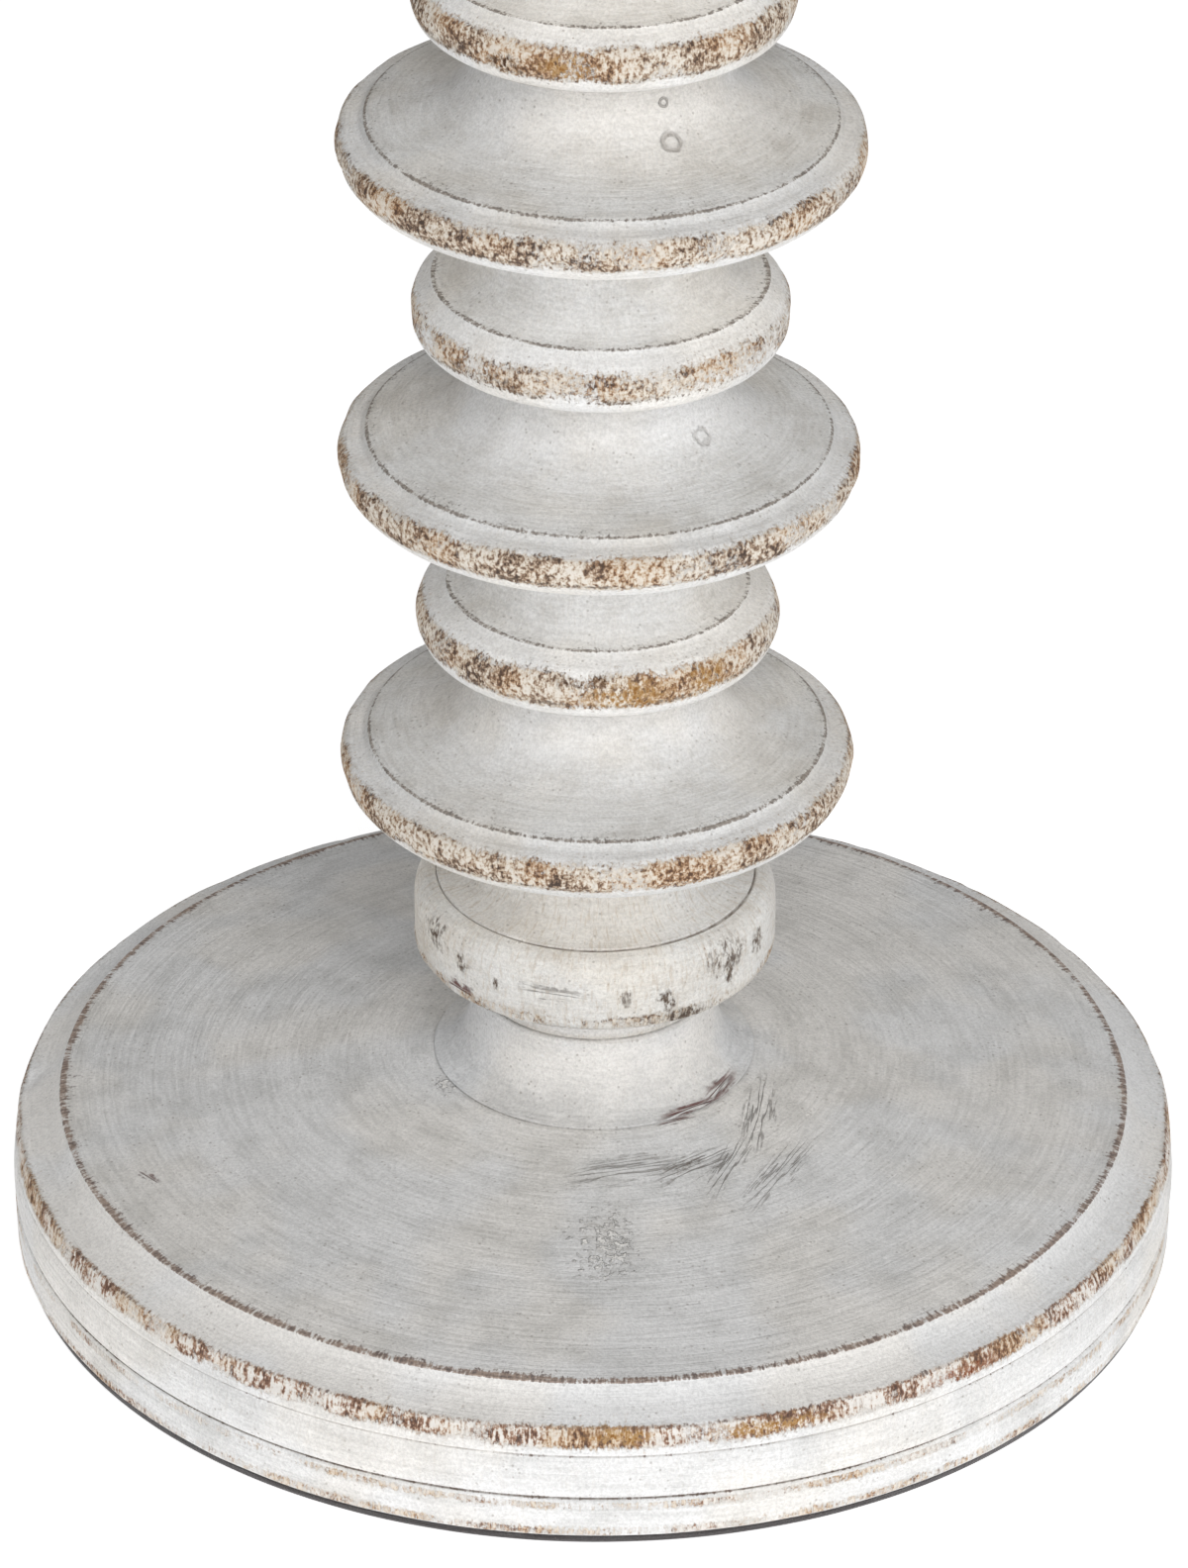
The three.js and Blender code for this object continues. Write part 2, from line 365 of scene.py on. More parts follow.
def turn(name: str, outline: Outline, lift: float, segments: int, hand: Hand) -> bpy.types.Object:
    """Sweep an outline round the axis into a closed mesh.

    Args:
        name: the piece's name.
        outline: the outline; it closes on itself, or starts and ends on the axis.
        lift: height of the outline's zero, in millimetres.
        segments: number of segments round the axis.
        hand: how far the surface strays from true.

    Returns:
        The new object, with its place along the outline, wear, painted crease shade and the coat with its
        painted light as attributes.
    """
    solid = outline.points[0][0] == 0
    rings = np.array(outline.points[:-1])
    free = np.array(outline.free[:-1])
    along = np.concatenate([[0], np.cumsum(np.hypot(*np.diff(rings, axis=0).T))])
    tangent = np.gradient(rings, axis=0)
    tangent /= np.maximum(np.linalg.norm(tangent, axis=1, keepdims=True), 1e-9)
    normal = np.stack([tangent[:, 1], -tangent[:, 0]], axis=1)
    layers = {layer: outline.amounts(layer, along) for layer in Layer}
    off = hand.stray(rings, layers[Layer.WORN], segments) * free[:, None]
    angle = np.arange(segments) * 2 * math.pi / segments
    radius = rings[:, :1] + normal[:, :1] * off
    height = rings[:, 1:] + normal[:, 1:] * off + lift
    grid = np.stack([radius * np.sin(angle), -radius * np.cos(angle), height], axis=2)
    if solid:
        grid = grid[1:]
    count = len(grid)
    vertices = grid.reshape(-1, 3)
    values = {"along": along, "coat_and_light": np.array(outline.coat_and_light[:-1])}
    values |= {layer.value: layers[layer] for layer in Layer}
    values = {key: np.repeat(value[1:] if solid else value, segments) for key, value in values.items()}
    here = np.arange(segments)
    there = (here + 1) % segments
    last = count - 1 if solid else count
    ring = np.arange(last)[:, None]
    above = (ring + 1) % count
    low, high = ring * segments, above * segments
    quads = np.stack([low + here, low + there, high + there, high + here], axis=2).reshape(-1, 4)
    faces = [quads.ravel()]
    sizes = [np.full(len(quads), 4)]
    if solid:
        poles = [rings[0], np.array(outline.points[-1])]
        for end, (ring_at, pole) in enumerate(zip((0, count - 1), poles)):
            vertices = np.vstack([vertices, [0, 0, pole[1] + lift]])
            tip = np.full(segments, len(vertices) - 1)
            a, b = ring_at * segments + here, ring_at * segments + there
            fan = np.stack([b, a, tip] if end == 0 else [a, b, tip], axis=1)
            faces.append(fan.ravel())
            sizes.append(np.full(segments, 3))
            values = {key: np.append(value, value[ring_at * segments]) for key, value in values.items()}
    return build_mesh(name, vertices * MM, np.concatenate(faces), np.concatenate(sizes), values)


def build_mesh(
    name: str,
    vertices: np.ndarray,
    corners: np.ndarray,
    sizes: np.ndarray,
    values: dict[str, np.ndarray],
) -> bpy.types.Object:
    """Make a smooth-shaded object from arrays.

    Args:
        name: the piece's name.
        vertices: places, in metres.
        corners: each face's vertex numbers, one face after the other.
        sizes: number of corners of each face.
        values: one attribute array for each name.

    Returns:
        The object, linked into the scene.
    """
    mesh = bpy.data.meshes.new(name)
    mesh.vertices.add(len(vertices))
    mesh.vertices.foreach_set("co", vertices.astype(np.float32).ravel())
    mesh.loops.add(len(corners))
    mesh.loops.foreach_set("vertex_index", corners.astype(np.int32))
    mesh.polygons.add(len(sizes))
    starts = np.concatenate([[0], np.cumsum(sizes)[:-1]])
    mesh.polygons.foreach_set("loop_start", starts.astype(np.int32))
    mesh.update(calc_edges=True)
    mesh.validate()
    for key, value in values.items():
        attribute = mesh.attributes.new(key, "FLOAT", "POINT")
        attribute.data.foreach_set("value", value.astype(np.float32))
    mesh.shade_smooth()
    mesh.set_sharp_from_angle(angle=math.radians(SMOOTH_BELOW))
    piece = bpy.data.objects.new(name, mesh)
    bpy.context.scene.collection.objects.link(piece)
    return piece


# ---------------------------------------------------------------------------------------------
# Finishes
# ---------------------------------------------------------------------------------------------


class Shading:
    """A material's nodes, with a short call for each kind that the finishes share."""

    def __init__(self, name: str) -> None:
        """Start a material.

        Args:
            name: the material's name.
        """
        self.material = bpy.data.materials.new(name)
        self.material.use_nodes = True
        self.nodes = self.material.node_tree.nodes
        self.links = self.material.node_tree.links
        self.surface = self.nodes["Principled BSDF"]

    def feed(self, socket: bpy.types.NodeSocket, value: Feed) -> None:
        """Link a socket to another, or set its own value.

        Args:
            socket: the socket to feed.
            value: another node's output, or the socket's own value.
        """
        if isinstance(value, bpy.types.NodeSocket):
            self.links.new(value, socket)
        elif isinstance(value, tuple) and socket.type == "RGBA":
            socket.default_value = (*value, 1)
        else:
            socket.default_value = value

    def node(self, kind: str, feeds: dict[int, Feed], out: int = 0, **settings: str) -> Socket:
        """Add a node.

        Args:
            kind: the node's type, without its ShaderNode prefix.
            feeds: what goes into each numbered input.
            out: number of the output to give back.
            settings: the node's own settings.

        Returns:
            One output of the new node.
        """
        made = self.nodes.new("ShaderNode" + kind)
        for key, value in settings.items():
            setattr(made, key, value)
        for number, value in feeds.items():
            self.feed(made.inputs[number], value)
        return made.outputs[out]

    def math(self, operation: str, a: Feed, b: Feed = 0.0) -> Socket:
        """Work out one sum on two values."""
        return self.node("Math", {0: a, 1: b}, operation=operation)

    def vector(self, operation: str, a: Feed, b: Feed = (0.0, 0.0, 0.0)) -> Socket:
        """Work out one sum on two vectors."""
        return self.node("VectorMath", {0: a, 1: b}, operation=operation)

    def scaled(self, vector: Feed, x: float, y: float, z: float) -> Socket:
        """Stretch a vector along its three directions."""
        return self.vector("MULTIPLY", vector, (x, y, z))

    def noise(self, vector: Feed, scale: float, detail: float = 2.0, rough: float = 0.5) -> Socket:
        """Soft noise, from 0 to 1, at so many cells for each unit of the vector."""
        return self.node("TexNoise", {0: vector, 2: scale, 3: detail, 4: rough})

    def cells(self, vector: Feed, scale: float) -> Socket:
        """Distance to the middle of the nearest of many scattered cells."""
        return self.node("TexVoronoi", {0: vector, 2: scale})

    def ease(self, value: Feed, low: float, high: float, start: float = 0.0, end: float = 1.0) -> Socket:
        """Ease from start to end as a value goes from low to high."""
        feeds = {0: value, 1: low, 2: high, 3: start, 4: end}
        return self.node("MapRange", feeds, interpolation_type="SMOOTHSTEP")

    def mix(self, share: Feed, first: Feed, second: Feed, blend: str = "MIX") -> Socket:
        """Mix two colours."""
        feeds = {0: share, 6: first, 7: second}
        return self.node("Mix", feeds, out=2, data_type="RGBA", blend_type=blend)

    def ramp(self, value: Feed, stops: list[tuple[float, Colour]]) -> Socket:
        """Look a value up on a strip of colours.

        Args:
            value: the value, 0 to 1.
            stops: places on the strip, each with its colour.

        Returns:
            The colour.
        """
        made = self.nodes.new("ShaderNodeValToRGB")
        strip = made.color_ramp.elements
        while len(strip) < len(stops):
            strip.new(1)
        for element, (place, colour) in zip(strip, stops):
            element.position = place
            element.color = (*colour, 1)
        self.feed(made.inputs[0], value)
        return made.outputs[0]

    def attribute(self, name: str) -> Socket:
        """Read one of the mesh's attributes."""
        return self.node("Attribute", {}, out=2, attribute_name=name)

    def place(self) -> Socket:
        """Give the place on the piece, in millimetres."""
        here = self.node("TexCoord", {}, out=3)
        return self.vector("MULTIPLY", here, (1 / MM, 1 / MM, 1 / MM))

    def bump(self, height: Feed, strength: float = 1.0) -> None:
        """Raise the surface by a height in millimetres."""
        raised = self.node("Bump", {0: strength, 1: MM, 3: height})
        self.feed(self.surface.inputs["Normal"], raised)

    def set(self, name: str, value: Feed) -> None:
        """Feed one of the surface's own sockets."""
        self.feed(self.surface.inputs[name], value)


class Flaw(Enum):
    """What a blemish in the paint is."""

    GASH = "purple-brown gash"
    SCRAPE = "grey scrape"
    PATCH = "patch rubbed to dark wood"
    BLISTER = "blistered paint"
    RING = "ring pressed into the paint"
    OCHRE = "ochre stretch in the worn edge"
    UMBER = "dark stretch in the worn edge"
    RED = "red stretch in the worn edge"


@dataclass(frozen=True)
class Blemish:
    """One placed blemish: where its middle is, its half sizes round, across and up, and its tilt."""

    flaw: Flaw
    angle: float
    radius: float
    height: float
    around: float
    across: float = 6.0
    up: float = 6.0
    tilt: float = 0.0
    amount: float = 1.0
    grit: float = 0.6


@dataclass(frozen=True)
class Hues:
    """The wood colours that show where paint is rubbed off, from the deepest to the palest."""

    tones: tuple[Colour, ...]
    places: tuple[float, ...] = (0.35, 0.42, 0.475, 0.53, 0.61)

    def stops(self) -> list[tuple[float, Colour]]:
        """Pair the places with the tones."""
        return list(zip(self.places, self.tones))


UMBER_WOOD = Hues(
    (
        paint(64, 46, 36),
        paint(122, 95, 75),
        paint(176, 151, 127),
        paint(215, 201, 183),
        paint(236, 229, 219),
    )
)
OCHRE_WOOD = Hues(
    (
        paint(84, 54, 34),
        paint(144, 104, 68),
        paint(188, 152, 117),
        paint(214, 194, 170),
        paint(232, 222, 209),
    )
)
RUSSET_WOOD = Hues(
    (
        paint(80, 52, 40),
        paint(128, 88, 66),
        paint(182, 149, 126),
        paint(229, 221, 212),
        paint(240, 236, 231),
    )
)
FLAW_HUES = {
    Flaw.GASH: (paint(66, 42, 42), paint(128, 98, 94)),
    Flaw.SCRAPE: (paint(104, 99, 97), paint(164, 160, 156)),
    Flaw.PATCH: (paint(98, 85, 76), paint(166, 152, 138)),
    Flaw.UMBER: (paint(70, 50, 38), paint(140, 112, 88)),
    Flaw.OCHRE: (paint(148, 104, 58), paint(204, 170, 120)),
    Flaw.RED: (paint(118, 66, 44), paint(176, 130, 104)),
}
EDGE_FLAWS = (Flaw.OCHRE, Flaw.UMBER, Flaw.RED)


@dataclass(frozen=True)
class ChalkPaint:
    """White chalk paint on turned wood, brushed round, rubbed back on the edges."""

    name: str
    light: Colour = paint(240, 239, 237)
    shade: Colour = paint(214, 211, 206)
    # the whitest paint, where the coat is thick; it also serves as painted light on coves, lips and necks
    edge: Colour = paint(251, 250, 249)
    mottle: float = 0.5
    brush: float = 0.62
    line: tuple[Colour, Colour] = (paint(146, 133, 120), paint(88, 77, 68))
    girth: float = 36.0
    wood: Hues = UMBER_WOOD
    wear: float = 0.94
    combed: float = 0.25
    streaked: float = 0.1
    scatter: float = 2.2  # how far the specks break the edge of a rubbed stretch
    rubbed_from: float = 0.32
    rubbed_whole: float = 0.72
    bareness: float = 0.93
    smudge: Colour = paint(188, 175, 160)
    stroke_relief: float = 0.3
    grain_relief: float = 0.15
    comb_relief: float = 0.12
    rubbed_depth: float = 0.10
    flaw_depth: float = 0.2
    roughness: float = 0.72
    grain_roughness: float = 0.16
    gloss: float = 0.08
    blemishes: tuple[Blemish, ...] = ()

    def material(self) -> bpy.types.Material:
        """Mix the paint.

        Returns:
            A new material that reads the wear, dirt and coat attributes.
        """
        s = Shading(self.name)
        place = s.place()
        worn = s.attribute(Layer.WORN.value)
        strokes, broad = self.swept(s, place, 5.0, 1.5, 4.0), self.swept(s, place, 2.2, 0.2, 2.0)
        mottle = s.noise(place, 0.12, 4, 0.62)
        grain = s.noise(place, 2.1, 3, 0.75)
        comb = self.swept(s, place, 1.9 * self.girth, 0.4, 3.0)
        patchy = s.noise(place, 0.11, 3, 0.6)
        specks = s.noise(s.scaled(place, 1.8, 1.8, 1.5), 1, 3, 0.7)
        specks = self.blended(s, specks, comb)

        colour = self.painted(s, place, (strokes, broad, mottle, grain, comb))
        share = s.ease(patchy, 0.36, 0.60, 0.55 * self.wear, 1.25 * self.wear)
        amount = s.math("MULTIPLY", worn, share)
        stray = s.math("MULTIPLY", s.math("SUBTRACT", specks, 0.5), self.scatter)
        near = s.ease(worn, 0.0, 0.12)
        bare = s.ease(s.math("ADD", amount, stray), self.rubbed_from, self.rubbed_whole)
        rubbed = s.math("MULTIPLY", bare, near)
        around_it = s.math("ADD", amount, s.math("MULTIPLY", stray, 0.3))
        tinged = s.math("MULTIPLY", s.ease(around_it, 0.15, 0.8), 0.5)
        colour = s.mix(tinged, colour, self.smudge)
        colour = s.mix(s.math("MULTIPLY", rubbed, self.bareness), colour, self.bared(s, place, comb))
        colour = self.lined(s, place, colour, patchy, specks)

        relief = s.math("MULTIPLY", strokes, self.stroke_relief)
        relief = s.math("ADD", relief, s.math("MULTIPLY", grain, self.grain_relief))
        drawn = s.math("MULTIPLY", comb, s.attribute("coat_and_light"))
        relief = s.math("ADD", relief, s.math("MULTIPLY", drawn, self.comb_relief * self.combed))
        relief = s.math("SUBTRACT", relief, s.math("MULTIPLY", rubbed, self.rubbed_depth))
        drift = s.node("TexNoise", {0: place, 2: 0.9, 3: 3.0}, out=1)
        frayed = s.vector("SUBTRACT", drift, (0.5, 0.5, 0.5))
        for blemish in self.blemishes:
            colour, relief = self.lay(s, blemish, (place, frayed, rubbed), colour, relief)
        s.set("Base Color", colour)
        grit = s.math("MULTIPLY", grain, self.grain_roughness)
        s.set("Roughness", s.math("ADD", self.roughness, grit))
        s.set("Specular IOR Level", self.gloss)
        s.bump(relief)
        return s.material

    def swept(self, s: Shading, place: Feed, turns: float, steps: float, detail: float) -> Socket:
        """Make noise that is drawn out round the piece, as a brush leaves it.

        Args:
            s: the material's nodes.
            place: place on the piece.
            turns: cells for each radian round the axis.
            steps: cells for each millimetre along the outline.
            detail: how fine the noise goes.

        Returns:
            The noise.
        """
        way = s.vector("NORMALIZE", s.scaled(place, 1, 1, 0))
        reach = s.node("CombineXYZ", {2: s.math("MULTIPLY", s.attribute("along"), steps)})
        return s.noise(s.vector("ADD", s.scaled(way, turns, turns, 0), reach), 1, detail, 0.6)

    def blended(self, s: Shading, first: Feed, comb: Feed) -> Socket:
        """Blend a noise with the comb marks, without making it any flatter.

        Args:
            s: the material's nodes.
            first: the noise.
            comb: the comb marks.

        Returns:
            The blend, still about 0.5.
        """
        whole = math.hypot(self.combed, 1 - self.combed)
        kept, added = (1 - self.combed) / whole, self.combed / whole
        both = s.math("ADD", s.math("MULTIPLY", first, kept), s.math("MULTIPLY", comb, added))
        return s.math("SUBTRACT", both, 0.5 * (kept + added - 1))

    def painted(self, s: Shading, place: Feed, noises: tuple[Feed, ...]) -> Socket:
        """Mix the sound paint: brushed, mottled, gritty, and whiter where the coat is thick, which is also
        painted light.

        Args:
            s: the material's nodes.
            place: place on the piece.
            noises: strokes, broad strokes, mottle, grain and comb marks.

        Returns:
            Its colour.
        """
        strokes, broad, mottle, grain, comb = noises
        thin = s.math("ADD", s.math("MULTIPLY", strokes, 0.6), s.math("MULTIPLY", broad, 0.4))
        tone = s.math("MULTIPLY", s.ease(thin, 0.38, 0.66), self.brush)
        tone = s.math("ADD", tone, s.math("MULTIPLY", s.ease(mottle, 0.42, 0.68), self.mottle))
        coat_and_light = s.attribute("coat_and_light")
        colour = s.mix(tone, self.light, self.shade)
        # painted light: a high coat mixes in the whitest paint, laid along the outlines on coves, lips and
        # necks
        colour = s.mix(coat_and_light, colour, s.mix(s.math("MULTIPLY", tone, 0.4), self.edge, self.shade))
        colour = s.mix(1.0, colour, s.ease(grain, 0.30, 0.70, 1.12, 0.88), "MULTIPLY")
        half_coat_and_light = s.math("MULTIPLY", s.math("SUBTRACT", 1.0, coat_and_light), coat_and_light)
        combed = s.math("MULTIPLY", s.ease(comb, 0.52, 0.66, 0, 4 * self.streaked), half_coat_and_light)
        colour = s.mix(combed, colour, paint(204, 190, 172))
        tint = s.ease(s.noise(place, 0.04, 2), 0.42, 0.58)
        colour = s.mix(1.0, colour, s.mix(tint, (1.0, 0.985, 0.96), (0.975, 0.982, 0.99)), "MULTIPLY")
        pits = s.ease(s.cells(place, 0.85), 0.24, 0.10)
        pits = s.math("MULTIPLY", pits, s.ease(s.noise(place, 0.22, 3), 0.44, 0.62, 0, 0.4))
        return s.mix(pits, colour, paint(122, 110, 98))

    def bared(self, s: Shading, place: Feed, comb: Feed) -> Socket:
        """Mix the rubbed stretches: umber or ochre wood under grains of paint.

        Args:
            s: the material's nodes.
            place: place on the piece.
            comb: the comb marks.

        Returns:
            Their colour.
        """
        drift = s.noise(place, 0.075, 2)
        tufts = s.noise(s.scaled(place, 1.5, 1.5, 1.25), 1, 3, 0.7)
        tone = self.blended(s, tufts, comb)
        tone = s.math("ADD", tone, s.ease(s.noise(place, 0.2, 3), 0.36, 0.62, -0.06, 0.06))
        plain, ochre = s.ramp(tone, self.wood.stops()), s.ramp(tone, OCHRE_WOOD.stops())
        return s.mix(s.ease(drift, 0.44, 0.62), plain, ochre)

    def lined(self, s: Shading, place: Feed, colour: Feed, patchy: Feed, specks: Feed) -> Socket:
        """Draw the broken dark lines along arrises, and the painted shade in creases.

        Args:
            s: the material's nodes.
            place: place on the piece.
            colour: the colour so far.
            patchy: broad noise that breaks the lines up.
            specks: fine noise that frays them.

        Returns:
            The new colour.
        """
        loose = s.math("MULTIPLY", s.math("SUBTRACT", specks, 0.5), 3.2)
        gaps = s.math("MULTIPLY", s.math("SUBTRACT", patchy, 0.5), 1.6)
        arris = s.attribute(Layer.ARRIS.value)
        level = s.math("ADD", s.math("ADD", arris, loose), gaps)
        line = s.math("MULTIPLY", s.ease(level, 0.62, 1.2, 0, 0.8), s.ease(arris, 0.0, 0.3))
        colour = s.mix(line, colour, s.mix(s.ease(specks, 0.45, 0.66), *self.line))
        # painted shade: the creases darken towards a brown grey, broken up by noise
        crease_shade_breakup = s.ease(s.noise(place, 0.5, 3, 0.6), 0.25, 0.6, 0.35, 1)
        crease_shade = s.math("MULTIPLY", s.attribute(Layer.CREASE.value), crease_shade_breakup)
        return s.mix(crease_shade, colour, paint(108, 94, 82))

    def lay(
        self, s: Shading, blemish: Blemish, noises: tuple[Feed, Feed, Feed], colour: Feed, relief: Feed
    ) -> tuple[Socket, Socket]:
        """Lay one blemish over the paint.

        Args:
            s: the material's nodes.
            blemish: the blemish.
            noises: place on the piece, the fraying of edges, and where the piece is rubbed.
            colour: the colour so far.
            relief: the relief so far.

        Returns:
            The new colour and relief.
        """
        place, frayed, rubbed = noises
        angle = math.radians(blemish.angle)
        middle = (blemish.radius * math.sin(angle), -blemish.radius * math.cos(angle), blemish.height)
        half = (blemish.around, blemish.across, blemish.up)
        push = 4 * blemish.grit * min(half)
        bearing = (0.0, 0.0, angle + math.radians(blemish.tilt))
        at = s.vector("ADD", place, s.scaled(frayed, push, push, push))
        square = {1: middle, 2: bearing, 3: half}
        local = s.node("Mapping", {0: at, **square}, vector_type="TEXTURE")
        away = s.node("VectorMath", {0: local}, out=1, operation="LENGTH")
        mask = s.ease(away, 1.0, 0.35, 0, blemish.amount)
        if blemish.flaw is Flaw.BLISTER:
            return self.blister(s, place, mask, colour, relief)
        if blemish.flaw is Flaw.RING:
            off_groove = s.math("ABSOLUTE", s.math("SUBTRACT", away, 0.7))
            groove = s.ease(off_groove, 0.3, 0.0, 0, blemish.amount)
            # painted shadow: the pressed ring darkens along its groove
            colour = s.mix(s.math("MULTIPLY", groove, 0.4), colour, paint(140, 130, 120))
            return colour, s.math("SUBTRACT", relief, s.math("MULTIPLY", groove, 0.35))
        dark, pale = FLAW_HUES[blemish.flaw]
        if blemish.flaw in EDGE_FLAWS:
            tufts = s.noise(s.scaled(place, 1.7, 1.7, 1.0), 1, 3, 0.65)
            share = s.math("MULTIPLY", s.math("MULTIPLY", mask, rubbed), s.ease(tufts, 0.40, 0.56))
            return s.mix(share, colour, s.mix(s.ease(tufts, 0.44, 0.66), pale, dark)), relief
        if blemish.flaw is Flaw.PATCH:
            streaks = s.noise(s.scaled(place, 1.4, 1.4, 0.6), 1, 3, 0.65)
            broken = s.math("MULTIPLY", mask, s.ease(streaks, 0.44, 0.58))
        else:
            drawn = (a * b for a, b in zip(half, (0.07, 1.0, 1.0)))
            straight = s.node("Mapping", {0: place, **square}, vector_type="TEXTURE")
            streaks = s.noise(s.scaled(straight, *drawn), 1, 2, 0.6)
            thin = 0.055 if blemish.flaw is Flaw.SCRAPE else 0.13
            off_line = s.math("ABSOLUTE", s.math("SUBTRACT", streaks, 0.5))
            broken = s.math("MULTIPLY", mask, s.ease(off_line, thin, 0.3 * thin))
        colour = s.mix(broken, colour, s.mix(s.ease(streaks, 0.45, 0.65), pale, dark))
        return colour, s.math("SUBTRACT", relief, s.math("MULTIPLY", broken, self.flaw_depth))

    def blister(
        self, s: Shading, place: Feed, mask: Feed, colour: Feed, relief: Feed
    ) -> tuple[Socket, Socket]:
        """Raise the paint into small white curls, with painted shade in the hollows between them.

        Args:
            s: the material's nodes.
            place: place on the piece.
            mask: where the blisters are.
            colour: the colour so far.
            relief: the relief so far.

        Returns:
            The new colour and relief.
        """
        curls = s.noise(place, 0.75, 3, 0.6)
        crest = s.math("MULTIPLY", mask, s.ease(curls, 0.48, 0.56))
        # painted shade: the hollows between the curls darken
        hollow_shade = s.math("MULTIPLY", mask, s.ease(curls, 0.46, 0.38, 0, 0.35))
        colour = s.mix(hollow_shade, s.mix(crest, colour, paint(252, 250, 246)), paint(150, 143, 132))
        return colour, s.math("ADD", relief, s.math("MULTIPLY", crest, 0.45))


@dataclass(frozen=True)
class WoolFelt:
    """Black pressed wool felt."""

    name: str = "wool_felt"

    def material(self) -> bpy.types.Material:
        """Give the felt its fibres and lint.

        Returns:
            A new felt material.
        """
        s = Shading(self.name)
        place = s.place()
        fibres = s.noise(place, 3.0, 4, 0.75)
        lint = s.ease(s.noise(place, 1.1, 3, 0.7), 0.6, 0.75, 0, 0.6)
        colour = s.mix(fibres, paint(34, 30, 31), paint(66, 58, 58))
        s.set("Base Color", s.mix(lint, colour, paint(120, 110, 106)))
        s.set("Roughness", 0.95)
        s.set("Sheen Weight", 0.4)
        s.set("Sheen Roughness", 0.6)
        s.bump(s.math("MULTIPLY", fibres, 0.3))
        return s.material


@dataclass(frozen=True)
class PlainSteel:
    """Bright zinc plate, or dull aged steel, with a drawn or spun grain."""

    name: str
    light: Colour
    dark: Colour
    roughness: float
    tarnish: Colour
    tarnish_share: float

    def material(self) -> bpy.types.Material:
        """Give the steel its grain and tarnish.

        Returns:
            A new metal material.
        """
        s = Shading(self.name)
        place = s.place()
        clouds = s.noise(place, 0.16, 4, 0.6)
        grain = s.noise(s.scaled(place, 1.0, 1.0, 6.0), 1.2, 3, 0.6)
        spots = s.ease(s.noise(place, 0.55, 4, 0.7), 0.52, 0.7, 0, self.tarnish_share)
        colour = s.mix(clouds, self.light, self.dark)
        s.set("Base Color", s.mix(spots, colour, self.tarnish))
        s.set("Metallic", 1.0)
        worn = s.math("ADD", self.roughness, s.math("MULTIPLY", grain, 0.18))
        s.set("Roughness", s.math("ADD", worn, s.math("MULTIPLY", spots, 0.25)))
        s.bump(s.math("MULTIPLY", grain, 0.03))
        return s.material


# ---------------------------------------------------------------------------------------------
# Wooden elements
# ---------------------------------------------------------------------------------------------


@dataclass(frozen=True)
class Joinery:
    """The seats that every turned element shares: spigot below, socket above, bore through."""

    bore: float = 4.6
    spigot: float = 10.0
    spigot_depth: float = 4.0
    clearance: float = 0.3

    def start(self, seat_radius: float) -> Outline:
        """Start an outline at the foot of the bore, down the spigot and out to the seat's edge.

        Args:
            seat_radius: radius at which the seat ends.

        Returns:
            The new outline.
        """
        outline = Outline(self.bore, -self.spigot_depth)
        outline.line(self.spigot, -self.spigot_depth)
        return outline.line(self.spigot, 0).line(seat_radius, 0)

    def close(self, outline: Outline, top: float, bottom: float) -> Outline:
        """Close an outline over the top face, the socket and down the bore.

        Args:
            outline: the outline, at the outer edge of the top face.
            top: height of the top face.
            bottom: height at which the bore ends.

        Returns:
            The closed outline.
        """
        floor = top - self.spigot_depth - self.clearance
        socket = self.spigot + self.clearance
        outline.show(False).line(socket, top).line(socket, floor).line(self.bore, floor)
        return outline.line(self.bore, bottom)


def dress(piece: bpy.types.Object, node: str, material: bpy.types.Material) -> bpy.types.Object:
    """Put a finish on a piece and let it stand for its CAD node.

    Args:
        piece: the piece.
        node: the CAD node that it replaces.
        material: the finish.

    Returns:
        The piece.
    """
    piece.data.materials.append(material)
    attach(piece, ROOT)
    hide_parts(node)
    log.info("%s: %d faces, %s", piece.name, len(piece.data.polygons), material.name)
    return piece


@dataclass
class TurnedElement:
    """One element of the stack; each kind draws its own outline."""

    joinery: Joinery
    segments: int

    def outline(self) -> Outline:
        """Draw the element above its seat."""
        raise NotImplementedError

    def build(self, node: str, paint_job: ChalkPaint, hand: Hand) -> bpy.types.Object:
        """Turn the element and dress it for one node.

        Args:
            node: the CAD node that it replaces.
            paint_job: its paint.
            hand: how far its surface strays from true.

        Returns:
            The dressed element.
        """
        outline = self.outline()
        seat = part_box(node)[0].z / MM - min(height for _, height in outline.points)
        piece = turn("turned_" + node, outline, seat, self.segments, hand)
        return dress(piece, node, paint_job.material())


